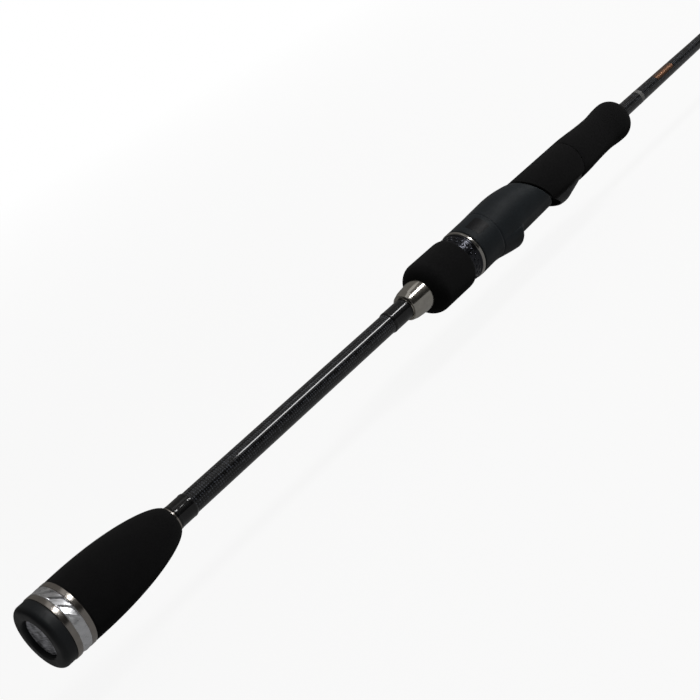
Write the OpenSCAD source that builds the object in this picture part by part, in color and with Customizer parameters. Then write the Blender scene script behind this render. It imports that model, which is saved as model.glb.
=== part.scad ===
// A two-piece spinning rod: a carbon blank with a foam split grip, a reel seat that locks
// upwards under a threaded foregrip, a put-over ferrule and ceramic-ringed line guides.
// The rod lies along +X from its butt end to its tip. The reel and the guides hang on -Z.

/* [Rod] */
// Length from the butt end to the front of the tip ring
rod_length = 1980; // [1584:12:2376]
// Length of the male end that the tip section slides over
ferrule_length = 60; // [48:1:72]
// Length of the thread wrap on the blank behind the ferrule
ferrule_rear_wrap = 22; // [16:1:28]
// Length of the thread wrap round the mouth of the tip section
ferrule_front_wrap = 18; // [12:1:24]
// Gap between a bonded piece and the blank inside it, filled with glue
glue_gap = 0.05; // [0.03:0.01:0.1]

/* [Blank] */
// Outer diameter at the butt
blank_butt_d = 10.0; // [9:0.1:10.4]
// Outer diameter under the reel seat's rear end
blank_seat_d = 9.4; // [8.6:0.1:10]
// Outer diameter at the foregrip's front end
blank_fore_d = 7.9; // [7.2:0.1:8.4]
// Outer diameter where the fast taper of the handle ends
blank_shoulder_d = 6.5; // [6:0.1:7]
// Distance from the foregrip's front end to that point
blank_shoulder_run = 86; // [70:1:140]
// Outer diameter of the male end of the ferrule
ferrule_d = 5.2; // [4.8:0.1:5.6]
// Outer diameter at the tip
blank_tip_d = 1.5; // [1.3:0.1:1.9]
// Wall of the carbon tube
blank_wall = 1.0; // [0.8:0.1:1.2]
// Wall of the tip section where it is thinnest
tip_wall = 0.45; // [0.4:0.05:0.6]
// Radial clearance of the ferrule
ferrule_clearance = 0.03; // [0.02:0.01:0.06]

/* [Butt end] */
// Diameter of the rubber butt cap
cap_d = 28; // [26:0.5:30]
// Thickness of the cap behind the rings
cap_length = 5.8; // [5:0.1:7]
// Radius of the cap's rear edge
cap_edge = 3; // [2:0.25:3.5]
// Diameter of the recess that holds the badge
badge_d = 17; // [14:0.5:19]
// Depth of that recess
badge_recess = 2.6; // [2:0.1:3]
// Thickness of the badge
badge_thickness = 0.8; // [0.6:0.1:1.2]
// Width of each narrow trim ring
narrow_ring_width = 1.75; // [1.5:0.05:2.5]
// Width of the broad trim ring between them
broad_ring_width = 6; // [5:0.25:7.5]
// Diameter of the trim rings
butt_ring_d = 28.5; // [27.5:0.25:30]
// Wall of the trim rings
butt_ring_wall = 3.2; // [2.5:0.1:4]

/* [Rear grip] */
// Length of the barrel-shaped foam grip in front of the rings
rear_grip_length = 53.2; // [43:0.2:64]
// Greatest diameter of the grip
rear_grip_d = 28.5; // [26.5:0.25:30]
// Diameter of its front face
rear_grip_nose_d = 13; // [12.5:0.5:15]
// Thickness of the trim ring on the blank in front of the grip
grip_check_width = 1.2; // [0.8:0.1:1.6]
// Diameter of that ring
grip_check_d = 11.6; // [11.2:0.1:12.4]
// Length of the thread wrap in front of the grip
rear_wrap_length = 10; // [8:1:14]
// Thickness of a coated thread wrap
wrap_thickness = 0.35; // [0.25:0.05:0.45]
// Length of bare blank between the two wraps of the split handle
split_length = 130.3; // [104:0.1:156]
// Length of the thread wrap behind the seat
front_wrap_length = 13; // [10:1:16]

/* [Reel seat] */
// Length of the tapered metal winding check
seat_check_length = 11.8; // [10:0.2:14]
// Diameter of its rear edge
seat_check_rear_d = 12.8; // [11.8:0.2:13.6]
// Diameter where it meets the foam collar
seat_check_front_d = 16.2; // [15:0.2:18]
// Length of the foam collar
collar_length = 26.8; // [21:0.2:32]
// Diameter of the foam collar
collar_d = 26; // [25:0.25:28]
// Length of the patterned metal ring
trim_ring_length = 6.9; // [5.5:0.1:8.2]
// Diameter of the patterned metal ring
trim_ring_d = 24.2; // [23.8:0.1:25]
// Length of the bright ring against the seat
seat_ring_length = 2; // [1.5:0.1:2.5]
// Diameter of the bright ring
seat_ring_d = 24.8; // [24.4:0.1:26]
// Diameter of the seat's tail, which the two rings sit on
seat_tail_d = 21.8; // [21:0.1:22.4]
// Length from the seat's rear edge to the mouth of the fixed hood
fixed_hood_length = 30.5; // [28:0.5:37]
// Height of the fixed hood below the rod's axis
fixed_hood_drop = 15; // [14.9:0.05:15.6]
// Height of the palm swell above the rod's axis
swell_rise = 13.5; // [12.8:0.1:14.5]
// Length of the flat that a reel foot lies on, between the hoods
foot_flat_length = 33.2; // [28:0.2:38]
// Depth of that flat below the rod's axis
foot_flat_drop = 9.8; // [9.6:0.05:9.9]
// Length of the pocket in the fixed hood
fixed_pocket_length = 5.5; // [4:0.5:6]
// Wall of the fixed hood under its pocket
fixed_hood_wall = 1.15; // [1:0.05:1.4]
// Wall of the moving hood under its pocket
hood_wall = 0.65; // [0.6:0.05:0.9]
// How much further forward the seat's rim is at the bottom than at the top
rim_slant = 14; // [10:0.5:15]
// Bore of the seat, which the arbors fill
seat_bore_d = 12.4; // [12:0.1:12.8]
// How far the nut runs past the threaded barrel's end when it is fully forward
nut_overrun = 2.6; // [1:0.1:4]
// Outer diameter of the seat's thread
thread_d = 16.4; // [16:0.1:16.6]
// Depth of the thread
thread_depth = 0.6; // [0.4:0.1:0.8]
// Distance the nut moves in one turn
thread_lead = 2; // [1.5:0.5:3]
// Width of the keyway along the top of the barrel
keyway_w = 3; // [2.4:0.2:4]
// Depth of the keyway
keyway_depth = 1; // [0.8:0.1:1.2]
// Length of the arbor under the palm swell
rear_arbor_length = 30; // [20:1:34]
// Length of the arbor under the barrel
front_arbor_length = 44; // [30:1:52]

/* [Moving hood and foregrip] */
// Length of the moving hood
hood_length = 27; // [24:0.5:32]
// Depth of the moving hood below the rod's axis
hood_drop = 14.5; // [14.4:0.05:15]
// Length of the pocket in the moving hood
moving_pocket_length = 11; // [8:0.5:12]
// Diameter of the plastic sleeve under the hood's cover
hood_sleeve_d = 20.8; // [20.4:0.1:21.2]
// Diameter of the hood's foam cover and of the foregrip's rear end
foregrip_d = 22.4; // [22:0.1:24]
// How much further forward the lower lip of its mouth is than the upper
hood_lip = 4.5; // [2:0.5:6]
// Travel of the moving hood along the seat
hood_travel = 20; // [16:1:20]
// Clearance between pieces that slide or turn on each other
slide_clearance = 0.25; // [0.2:0.05:0.3]
// Length of the foregrip
foregrip_length = 51.9; // [48:0.1:62]
// Diameter of the foregrip's waist
foregrip_waist_d = 20.3; // [19.8:0.1:21.4]
// Diameter of the foregrip's front end
foregrip_front_d = 22.2; // [21:0.1:24]
// Length of the nut bonded inside the foregrip
nut_length = 21; // [17:0.5:24]
// Wall of the nut
nut_wall = 1.0; // [0.8:0.1:1.1]
// Length of the foregrip's front wall around the blank
foregrip_front_wall = 10.5; // [8:0.5:12]

/* [Guides] */
// Number of line guides besides the tip ring
guide_count = 7; // [7:1:7]
// Ring sizes from the butt to the tip, each the outer diameter of its metal ring
guide_sizes = [25, 16, 12, 8, 7, 6, 6]; // [5:1:30]
// Distance of the first guide behind the mouth of the tip section
stripper_setback = 98; // [80:1:140]
// Growth of each spacing over the one before it
spacing_growth = 1.17; // [1.1:0.01:1.2]
// Smallest size that stands on two feet
two_foot_size = 12; // [10:1:16]
// Depth of a ring's centre below the blank's axis, before its size is added
guide_drop_base = 3.5; // [3:0.1:5]
// The part of that depth that grows with the ring's size
guide_drop_per_size = 0.9; // [0.8:0.01:1]
// Thickness of the metal that a guide is bent from
guide_metal = 0.8; // [0.6:0.05:1]
// Thickness of a guide's foot
foot_thickness = 0.6; // [0.5:0.05:0.8]
// Outer diameter of the tip ring
tip_ring_d = 6.4; // [5.6:0.1:8]
// Length of the tube on the blank's end
tip_tube_length = 14; // [10:1:18]
// Wall of the tip tube
tip_tube_wall = 0.4; // [0.3:0.05:0.5]

/* [Hidden] */
fine = 96;
skin_sides = 36;
seam = 0.3;
cut = 1;
bevel = 0.4;

// Places along the rod, from the butt end forward
rings_x = cap_length;
broad_ring_x = rings_x + narrow_ring_width;
front_ring_x = broad_ring_x + broad_ring_width;
grip_x = front_ring_x + narrow_ring_width;
grip_nose_x = grip_x + rear_grip_length;
rear_wrap_x = grip_nose_x + grip_check_width;
split_x = rear_wrap_x + rear_wrap_length;
front_wrap_x = split_x + split_length;
seat_check_x = front_wrap_x + front_wrap_length;
collar_x = seat_check_x + seat_check_length;
trim_ring_x = collar_x + collar_length;
seat_ring_x = trim_ring_x + trim_ring_length;
seat_x = seat_ring_x + seat_ring_length;
flat_x = seat_x + fixed_hood_length;
rim_x = flat_x + foot_flat_length;
hood_x = rim_x + seam;
foregrip_x = hood_x + hood_length + seam;
barrel_end_x = foregrip_x + nut_length + hood_travel - nut_overrun;
foregrip_end_x = foregrip_x + foregrip_length;
shoulder_x = foregrip_end_x + blank_shoulder_run;
section_length = (rod_length + ferrule_length) / 2;
tip_base_x = rod_length - section_length;
male_end_x = tip_base_x + ferrule_length;
stripper_x = tip_base_x - stripper_setback;
tip_ring_width = 1.6;
tip_ring_gap = 2;
tip_blank_end_x = rod_length - tip_ring_width - tip_ring_gap;

// Radii that more than one piece depends on
cap_r = cap_d / 2;
cap_wall = 0.8;
badge_floor_x = badge_recess;
blank_end_x = badge_floor_x + cap_wall;
ring_bore_r = butt_ring_d / 2 - butt_ring_wall;
tail_r = seat_tail_d / 2;
thread_r = thread_d / 2;
thread_root_r = thread_r - thread_depth;
sleeve_bore_r = thread_r + slide_clearance;
sleeve_r = hood_sleeve_d / 2;
thread_play = 0.1;
nut_bore_r = thread_r + thread_play;
nut_r = nut_bore_r + nut_wall;
spigot_r = (nut_bore_r + nut_r) / 2;
spigot_length = 3;
ferrule_wall = tip_wall + 0.25;
ferrule_bore_r = ferrule_d / 2 + ferrule_clearance;
tip_sleeve_r = ferrule_bore_r + ferrule_wall;
ferrule_front_x = male_end_x + 4;
ferrule_step_run = 20;

// The blank's diameter at each place where its taper changes
butt_stations = [
    [0, blank_butt_d],
    [seat_check_x, blank_seat_d],
    [foregrip_end_x, blank_fore_d],
    [shoulder_x, blank_shoulder_d],
    [tip_base_x, ferrule_d]
];
tip_stations = [
    [tip_base_x, 2 * tip_sleeve_r],
    [ferrule_front_x, 2 * tip_sleeve_r],
    [ferrule_front_x + ferrule_step_run, ferrule_d - 0.1],
    [tip_blank_end_x, blank_tip_d]
];
function butt_r(x) = lookup(x, butt_stations) / 2;
function tip_r(x) = lookup(x, tip_stations) / 2;
function rod_r(x) = x < tip_base_x ? butt_r(x) : tip_r(x);

// The seat's outline: height above the axis, depth below it and half its width
seat_top = [
    [0, 12.4], [12, 12.65], [21, swell_rise - 0.4], [30.5, swell_rise], [35.5, swell_rise - 0.15],
    [40, swell_rise - 0.6], [45.5, 12.1], [50, 11.1], [64, 10.9]
];
seat_bottom = [
    [0, 12.5], [11.5, 12.1], [16, 12.5], [21, 13.5], [fixed_hood_length - 4.5, fixed_hood_drop - 0.6],
    [fixed_hood_length, fixed_hood_drop + 0.1], [fixed_hood_length + 2, 11.4], [64, 10.5]
];
seat_side = [[0, 12.45], [12, 12.2], [30, 12.1], [40, 11.6], [50, 11.1], [64, 10.8]];
// The moving hood's depth, from its mouth forward
hood_bottom = [
    [0, hood_drop - 0.4], [1, hood_drop - 0.1], [6, hood_drop - 0.05], [11, hood_drop],
    [16, hood_drop - 1.1], [21, hood_drop - 2.2], [27, sleeve_r + 0.2]
];

// Shared shapes

function arc(x, r, radius, from, to, steps = 8) =
    [for (i = [0:steps]) let (a = from + (to - from) * i / steps)
        [r + radius * sin(a), x + radius * cos(a)]];

function bezier(p0, p1, p2, p3, steps = 24) =
    [for (i = [0:steps]) let (t = i / steps, s = 1 - t)
        s * s * s * p0 + 3 * s * s * t * p1 + 3 * s * t * t * p2 + t * t * t * p3];

// A profile of [radius, x] points, turned about the rod's axis
module turned(profile) {
    rotate([0, 90, 0]) rotate_extrude($fn = fine) polygon(profile);
}

// A round bar or hole along the rod's axis
module rod_cylinder(x0, x1, r) {
    translate([x0, 0, 0]) rotate([0, 90, 0]) cylinder(h = x1 - x0, r = r, $fn = fine);
}

// The bore of a piece bonded on the blank, as the end of that piece's profile
function glued_bore(x0, x1) = [[rod_r(x1) + glue_gap, x1], [rod_r(x0) + glue_gap, x0]];

// A plain sleeve bonded on the blank
module sleeve(x0, x1, r) {
    turned(concat([[r, x0], [r, x1]], glued_bore(x0, x1)));
}

// A ring with small rounded edges on a piece of radius bore_r
module trim(x0, x1, r, bore_r, edge = 0.3) {
    turned(concat(
        [[bore_r, x1], [bore_r, x0]],
        arc(x0 + edge, r - edge, edge, 180, 90, 4),
        arc(x1 - edge, r - edge, edge, 90, 0, 4)
    ));
}

// A closed skin around the rod's axis. place(u, a) gives x and radius(x, a) the distance
// from the axis, where u runs from 0 to 1 and a is the angle from +Y towards +Z.
module skin(rings, place, radius) {
    sides = skin_sides;
    step = 360 / sides;
    around = [for (i = [0:rings]) for (j = [0:sides - 1])
        let (a = j * step, x = place(i / rings, a), r = radius(x, a)) [x, r * cos(a), r * sin(a)]];
    rear = (rings + 1) * sides;
    front = rear + 1;
    wall = [for (i = [0:rings - 1]) for (j = [0:sides - 1])
        let (k = (j + 1) % sides, p = i * sides + j, q = i * sides + k)
        each [[p, q + sides, q], [p, p + sides, q + sides]]];
    caps = [for (j = [0:sides - 1]) let (k = (j + 1) % sides)
        each [[rear, j, k], [front, rings * sides + k, rings * sides + j]]];
    ends = [[place(0, 0), 0, 0], [place(1, 0), 0, 0]];
    polyhedron(points = concat(around, ends), faces = concat(wall, caps), convexity = 4);
}

// How far a bump on the underside stands out at angle a, from 0 beside it to 1 at the bottom
function underside(a, edge, power) =
    pow(max(0, (-sin(a) - sin(edge)) / (1 - sin(edge))), power);

// The space inside a hood: flat on top at floor_drop, and of radius r down to depth
module hood_pocket(x0, x1, floor_drop, depth, r) {
    translate([x0, 0, 0]) rotate([90, 0, 90]) linear_extrude(x1 - x0) intersection() {
        translate([0, r - depth]) circle(r = r, $fn = fine);
        translate([-depth, -floor_drop - depth]) square([2 * depth, depth]);
    }
}

// Butt end

module butt_cap() {
    color("#1c1d1e") turned(concat(
        [[0, badge_floor_x], [badge_d / 2, badge_floor_x], [badge_d / 2, bevel], [badge_d / 2 + bevel, 0]],
        arc(cap_edge, cap_r - cap_edge, cap_edge, 180, 90),
        [
            [cap_r, cap_length], [butt_r(cap_length) + glue_gap, cap_length],
            [butt_r(blank_end_x) + glue_gap, blank_end_x], [0, blank_end_x]
        ]
    ));
}

module butt_badge() {
    color("#8e9096") rod_cylinder(badge_floor_x - badge_thickness, badge_floor_x, badge_d / 2 - glue_gap);
}

module butt_ring_rear() {
    color("#9c938a") trim(rings_x, broad_ring_x, butt_ring_d / 2, ring_bore_r);
}

module butt_ring_broad() {
    color("#cfd1d6") trim(broad_ring_x, front_ring_x, butt_ring_d / 2, ring_bore_r);
}

module butt_ring_front() {
    color("#9c938a") trim(front_ring_x, grip_x, butt_ring_d / 2, ring_bore_r);
}

// The foam barrel, with a spigot at its rear for the three rings
module rear_grip() {
    grip_r = rear_grip_d / 2;
    nose_r = rear_grip_nose_d / 2;
    rear_ease = 0.15;
    swell_pull = [grip_r + 0.95, grip_x + 0.556 * rear_grip_length];
    nose_pull = [nose_r + 4, grip_x + 0.979 * rear_grip_length];
    color("#222324") turned(concat(
        [[ring_bore_r - glue_gap, rings_x], [ring_bore_r - glue_gap, grip_x]],
        bezier([grip_r - rear_ease, grip_x], swell_pull, nose_pull, [nose_r, grip_nose_x]),
        glued_bore(rings_x, grip_nose_x)
    ));
}

module grip_check() {
    color("#77787c") trim(grip_nose_x, rear_wrap_x, grip_check_d / 2, butt_r(grip_nose_x) + glue_gap);
}

module rear_wrap() {
    color("#121214") sleeve(rear_wrap_x, split_x, butt_r(rear_wrap_x) + glue_gap + wrap_thickness);
}

// Blank

// The tapered tube, ending in the straight male half of the ferrule
module butt_blank() {
    outside = [for (s = butt_stations) if (s[0] > blank_end_x) [s[1] / 2, s[0]]];
    inside = [for (i = [len(outside) - 1:-1:0]) [outside[i][0] - blank_wall, outside[i][1]]];
    color("#17181a") turned(concat(
        [[butt_r(blank_end_x) - blank_wall, blank_end_x], [butt_r(blank_end_x), blank_end_x]],
        outside,
        [[ferrule_d / 2, male_end_x - bevel], [ferrule_d / 2 - bevel, male_end_x]],
        [[ferrule_d / 2 - blank_wall, male_end_x]],
        inside
    ));
}

module front_wrap() {
    color("#121214") sleeve(front_wrap_x, seat_check_x, butt_r(front_wrap_x) + glue_gap + wrap_thickness);
}

module butt_ferrule_wrap() {
    rear_x = tip_base_x - ferrule_rear_wrap;
    color("#121214") sleeve(rear_x, tip_base_x - seam, butt_r(rear_x) + glue_gap + wrap_thickness);
}

// The female tube: a straight bore over the male end, then a hollow that narrows to the tip
module tip_blank() {
    bore_end_x = ferrule_front_x - cut;
    step_end_x = bore_end_x + ferrule_step_run + bevel;
    hollow_end_x = tip_base_x + 0.6 * section_length;
    color("#17181a") turned(concat(
        [for (s = tip_stations) [s[1] / 2, s[0]]],
        [
            [0, tip_blank_end_x], [0, hollow_end_x], [tip_r(hollow_end_x) / 2, hollow_end_x],
            [tip_r(step_end_x) - ferrule_wall, step_end_x],
            [ferrule_bore_r, bore_end_x], [ferrule_bore_r, tip_base_x]
        ]
    ));
}

module tip_ferrule_wrap() {
    color("#121214") sleeve(tip_base_x, tip_base_x + ferrule_front_wrap, tip_sleeve_r + glue_gap + wrap_thickness);
}

// Reel seat

module seat_check() {
    rear_r = seat_check_rear_d / 2;
    rise = seat_check_front_d / 2 - rear_r;
    lip = 1;
    color("#b9b4ac") turned(concat(
        arc(seat_check_x + lip, rear_r - lip, lip, 180, 90, 4),
        [
            [rear_r + 0.5 * rise, seat_check_x + 0.26 * seat_check_length],
            [rear_r + 0.75 * rise, seat_check_x + 0.62 * seat_check_length],
            [rear_r + rise, collar_x]
        ],
        glued_bore(seat_check_x, collar_x)
    ));
}

// The short foam collar in front of the check, well rounded at its rear
module grip_collar() {
    r = collar_d / 2;
    rear_round = min(6.5, collar_length / 3);
    front_round = 1.2;
    front_ease = 0.25;
    color("#222324") turned(concat(
        arc(collar_x + rear_round, r - rear_round, rear_round, 180, 90),
        arc(trim_ring_x - front_round, r - front_ease - front_round, front_round, 90, 0, 4),
        glued_bore(collar_x, trim_ring_x)
    ));
}

module trim_ring() {
    color("#4b4d55") trim(trim_ring_x, seat_ring_x, trim_ring_d / 2, tail_r + glue_gap);
}

module seat_ring() {
    color("#b4b1ab") trim(seat_ring_x, seat_x, seat_ring_d / 2, tail_r + glue_gap);
}

// Distance of the seat's surface from the rod's axis
function seat_surface(x, a) =
    let (
        side = lookup(x - seat_x, seat_side),
        top = lookup(x - seat_x, seat_top),
        bottom = lookup(x - seat_x, seat_bottom)
    )
    sin(a) > 0
        ? side + (top - side) * pow(sin(a), 1.5)
        : side + (bottom - side) * underside(a, 20, 0.5);

// Radius of the space inside each hood
fixed_pocket_r = 7.8;
moving_pocket_r = 7.6;

// The slanted rim at the front of the seat's body
function rim(a) = rim_x - rim_slant * (1 + sin(a)) / 2;

// The row of thread crests along the barrel, as [radius, x] points
function thread_profile(x0, x1) =
    [for (n = [0:floor((x1 - x0) / thread_lead) - 1]) let (x = x0 + n * thread_lead)
        each [
            [thread_root_r, x], [thread_r, x + 0.3 * thread_lead],
            [thread_r, x + 0.55 * thread_lead], [thread_root_r, x + 0.85 * thread_lead]
        ]];

// One moulding: tail, palm swell, fixed hood, foot flat and threaded barrel
module reel_seat() {
    bore_r = seat_bore_d / 2;
    core_r = thread_root_r;
    core_x = seat_x + seat_ring_length;
    thread_x = rim_x + 4 * thread_lead;
    color("#2b2e33") difference() {
        union() {
            skin(40, function (u, a) seat_x + u * (rim(a) - seat_x), function (x, a) seat_surface(x, a));
            turned(concat(
                [[bore_r, trim_ring_x + glue_gap], [tail_r, trim_ring_x + glue_gap], [tail_r, core_x]],
                [[core_r, core_x], [core_r, thread_x]],
                thread_profile(thread_x, barrel_end_x - cut),
                [[core_r, barrel_end_x], [bore_r, barrel_end_x]]
            ));
        }
        rod_cylinder(trim_ring_x, barrel_end_x + cut, bore_r);
        translate([flat_x, -cap_d, -cap_d - foot_flat_drop]) cube([foot_flat_length + cut, 2 * cap_d, cap_d]);
        hood_pocket(flat_x - fixed_pocket_length, flat_x + cut, foot_flat_drop - seam,
            fixed_hood_drop - fixed_hood_wall, fixed_pocket_r);
        translate([rim_x, -keyway_w / 2, thread_r - keyway_depth])
            cube([barrel_end_x - rim_x + cut, keyway_w, keyway_depth + cut]);
    }
}

arbor_inset = 2;
module seat_arbor(x0, x1) {
    color("#6b5a45") sleeve(x0, x1, seat_bore_d / 2 - glue_gap);
}

module seat_arbor_rear() seat_arbor(seat_x + arbor_inset, seat_x + arbor_inset + rear_arbor_length);
module seat_arbor_front() seat_arbor(barrel_end_x - arbor_inset - front_arbor_length, barrel_end_x - arbor_inset);

// Moving hood and foregrip

function hood_bulge(depth, a) = sleeve_r + (depth - sleeve_r) * underside(a, 45, 0.4);
function hood_surface(x, a) = hood_bulge(lookup(x - hood_x, hood_bottom), a);
hood_half_w = max([for (a = [-90:2:-44]) hood_bulge(hood_drop, a) * cos(a)]);
// How far the mouth's edge lies in front of the sleeve's rear end
function hood_mouth(a) = hood_lip * underside(a, 45, 1);

// The keyed sleeve that slides on the barrel, with the hood on its underside
module moving_hood() {
    front_x = hood_x + hood_length;
    pocket_end_x = hood_x + moving_pocket_length;
    color("#3a3c3f") difference() {
        union() {
            skin(14, function (u, a) hood_x + hood_mouth(a) + u * (hood_length - hood_mouth(a)),
                function (x, a) hood_surface(x, a));
            rod_cylinder(front_x - cut, front_x + spigot_length, spigot_r - slide_clearance / 2);
        }
        difference() {
            rod_cylinder(hood_x - cut, front_x + spigot_length + cut, sleeve_bore_r);
            translate([hood_x, -keyway_w / 2 + slide_clearance, thread_r - keyway_depth + slide_clearance])
                cube([hood_length, keyway_w - 2 * slide_clearance, 2 * keyway_depth]);
        }
        hood_pocket(hood_x - cut, pocket_end_x, foot_flat_drop - seam, hood_drop - hood_wall, moving_pocket_r);
    }
}

// The foam cover over the sleeve, slanted like the seat's rim and open under the hood
module hood_cover() {
    r = foregrip_d / 2;
    front_x = hood_x + hood_length;
    rear_gap = 2.5 * seam;
    notch_half_w = hood_half_w + seam;
    color("#222324") difference() {
        skin(6, function (u, a) rim(a) + rear_gap + u * (front_x - rim(a) - rear_gap), function (x, a) r);
        rod_cylinder(rim_x - rim_slant - cut, front_x + cut, sleeve_r + glue_gap);
        translate([rim_x - rim_slant - cut, -notch_half_w, -2 * r])
            cube([rim_slant + hood_length + 2 * cut + seam, 2 * notch_half_w, 2 * r]);
    }
}

// The nut, which turns on the seat's thread and holds the hood's spigot in its rear end
module lock_nut() {
    rear_x = foregrip_x;
    front_x = rear_x + nut_length;
    socket_r = spigot_r + slide_clearance / 2;
    socket_x = rear_x + spigot_length + seam;
    color("#55585c") turned([
        [socket_r, rear_x], [nut_r, rear_x], [nut_r, front_x], [nut_bore_r + bevel, front_x],
        [nut_bore_r, front_x - bevel], [nut_bore_r, socket_x], [socket_r, socket_x]
    ]);
}

// The foam foregrip, bonded on the nut, with clearance over the barrel and the blank
module foregrip() {
    rear_r = foregrip_d / 2;
    waist_r = foregrip_waist_d / 2;
    front_r = foregrip_front_d / 2;
    front_round = 4;
    nut_end_x = foregrip_x + nut_length + glue_gap;
    wall_x = foregrip_end_x - foregrip_front_wall;
    blank_hole_r = butt_r(wall_x) + seam + thread_play;
    barrel_room_r = sleeve_bore_r + thread_play;
    waist_x = foregrip_x + 0.6 * foregrip_length;
    pull = 12;
    color("#222324") turned(concat(
        [[rear_r, foregrip_x]],
        bezier([rear_r, foregrip_x + bevel], [rear_r, foregrip_x + pull], [waist_r, waist_x - pull],
            [waist_r, waist_x], 12),
        bezier([waist_r, waist_x], [waist_r, waist_x + pull / 2], [front_r, foregrip_end_x - pull],
            [front_r, foregrip_end_x - front_round], 8),
        arc(foregrip_end_x - front_round, front_r - front_round, front_round, 80, 0),
        [
            [blank_hole_r, foregrip_end_x], [blank_hole_r, wall_x], [barrel_room_r, wall_x],
            [barrel_room_r, nut_end_x], [nut_r + glue_gap, nut_end_x], [nut_r + glue_gap, foregrip_x]
        ]
    ));
}

// Guides

// Place of guide n: each spacing from the tip back is longer than the one before it
function guide_x(n) = rod_length - (rod_length - stripper_x)
    * (pow(spacing_growth, guide_count + 1 - n) - 1) / (pow(spacing_growth, guide_count) - 1);
function guide_size(n) = guide_sizes[n - 1];
function guide_drop(n) = guide_drop_base + guide_drop_per_size * guide_size(n);
function ring_bore_r(size) = (0.82 * size - 1.3) / 2;
function ring_width(size) = 1.2 + 0.06 * size;
function two_feet(n) = guide_size(n) >= two_foot_size;
function foot_length(n) = 7 + 0.4 * guide_size(n);
function foot_width(n) = 1.6 + 0.04 * guide_size(n);
// Distance from the ring to the near end of a foot
function foot_reach(n) = two_feet(n) ? 0.6 * guide_size(n) : 0.35 * guide_size(n);
// Depth of the foot's upper face, just clear of the blank's thickest part under it
function foot_top(n) = rod_r(guide_x(n) - foot_reach(n) - foot_length(n)) + glue_gap;

// A flat bar between two points in the plane y = 0, turned out to y at its lower end
module bar(from, to, w, t) {
    d = to - from;
    run = norm(d);
    translate(from) rotate([0, 0, atan2(d[1], d[0])]) rotate([0, acos(d[2] / run), 0])
        translate([-t / 2, -w / 2, 0]) cube([t, w, run]);
}

module guide_foot(n, side, grow = 0) {
    near_x = guide_x(n) + side * foot_reach(n);
    far_x = near_x + side * foot_length(n);
    translate([min(near_x, far_x) - grow, -foot_width(n) / 2 - grow, -foot_top(n) - foot_thickness - grow])
        cube([foot_length(n) + 2 * grow, foot_width(n) + 2 * grow, foot_thickness + 2 * grow]);
}

// The ring that holds the ceramic, its legs and its one or two feet
module guide_frame(n) {
    size = guide_size(n);
    x = guide_x(n);
    drop = guide_drop(n);
    half_width = ring_width(size) / 2;
    foot_z = -foot_top(n) - foot_thickness / 2;
    rear_y = 0.36 * size;
    rear_z = -drop + sqrt(pow(size / 2 - guide_metal / 2, 2) - pow(rear_y, 2));
    leg_w = foot_width(n) * 0.8;
    leg_overlap = 0.6;
    rear_foot_x = x - foot_reach(n) - leg_overlap;
    front_foot_x = x + foot_reach(n) + leg_overlap;
    color("#8f9094") difference() {
        union() {
            translate([x - half_width, 0, -drop]) rotate([0, 90, 0])
                cylinder(h = 2 * half_width, r = size / 2, $fn = fine);
            bar([x, 0, -drop + size / 2 - guide_metal / 2], [front_foot_x, 0, foot_z], leg_w, guide_metal);
            guide_foot(n, 1);
            if (two_feet(n)) {
                for (side = [-1, 1])
                    bar([x, side * rear_y, rear_z], [rear_foot_x, side * guide_metal / 3, foot_z],
                        guide_metal, guide_metal);
                guide_foot(n, -1);
            }
        }
        translate([x - half_width - cut, 0, -drop]) rotate([0, 90, 0])
            cylinder(h = 2 * half_width + 2 * cut, r = size / 2 - guide_metal, $fn = fine);
    }
}

module guide_ring(n) {
    size = guide_size(n);
    half_width = ring_width(size) / 2 + 0.2;
    outer_r = size / 2 - guide_metal - glue_gap;
    bore_r = ring_bore_r(size);
    land = 0.5 * half_width;
    edge = min(0.45 * (outer_r - bore_r), 0.5);
    color("#2a2a2d") translate([guide_x(n), 0, -guide_drop(n)]) rotate([0, 90, 0]) rotate_extrude($fn = fine)
        polygon([
            [bore_r, -land], [bore_r + edge, -half_width], [outer_r - edge / 2, -half_width], [outer_r, -land],
            [outer_r, land], [outer_r - edge / 2, half_width], [bore_r + edge, half_width], [bore_r, land]
        ]);
}

// A coated thread wrap round the blank and over the outer part of one foot
module foot_wrap(n, side) {
    past_foot = 2.5;
    start = guide_x(n) + side * (foot_reach(n) + 0.25 * foot_length(n));
    end = guide_x(n) + side * (foot_reach(n) + foot_length(n) + past_foot);
    x0 = min(start, end);
    x1 = max(start, end);
    inner_r = rod_r(x0) + glue_gap;
    hump_r = foot_width(n) / 2 + wrap_thickness;
    difference() {
        translate([x0, 0, 0]) rotate([90, 0, 90]) linear_extrude(x1 - x0) difference() {
            union() {
                circle(r = inner_r + wrap_thickness, $fn = fine);
                translate([0, -foot_top(n) - foot_thickness + hump_r - wrap_thickness]) circle(r = hump_r, $fn = fine);
            }
            circle(r = inner_r, $fn = fine);
        }
        guide_foot(n, side, glue_gap);
    }
}

module guide_wrap(n) {
    color("#121214") {
        foot_wrap(n, 1);
        if (two_feet(n)) foot_wrap(n, -1);
    }
}

// Tip ring

tip_ring_bore_r = ring_bore_r(tip_ring_d);
tip_leg = 0.6;
tip_wrap_length = 6;
tip_drop = tip_ring_d / 2 + blank_tip_d / 2 + tip_leg;
tip_tube_x = tip_blank_end_x - tip_tube_length;
tip_tube_bore_r = tip_r(tip_tube_x) + glue_gap;

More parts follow.
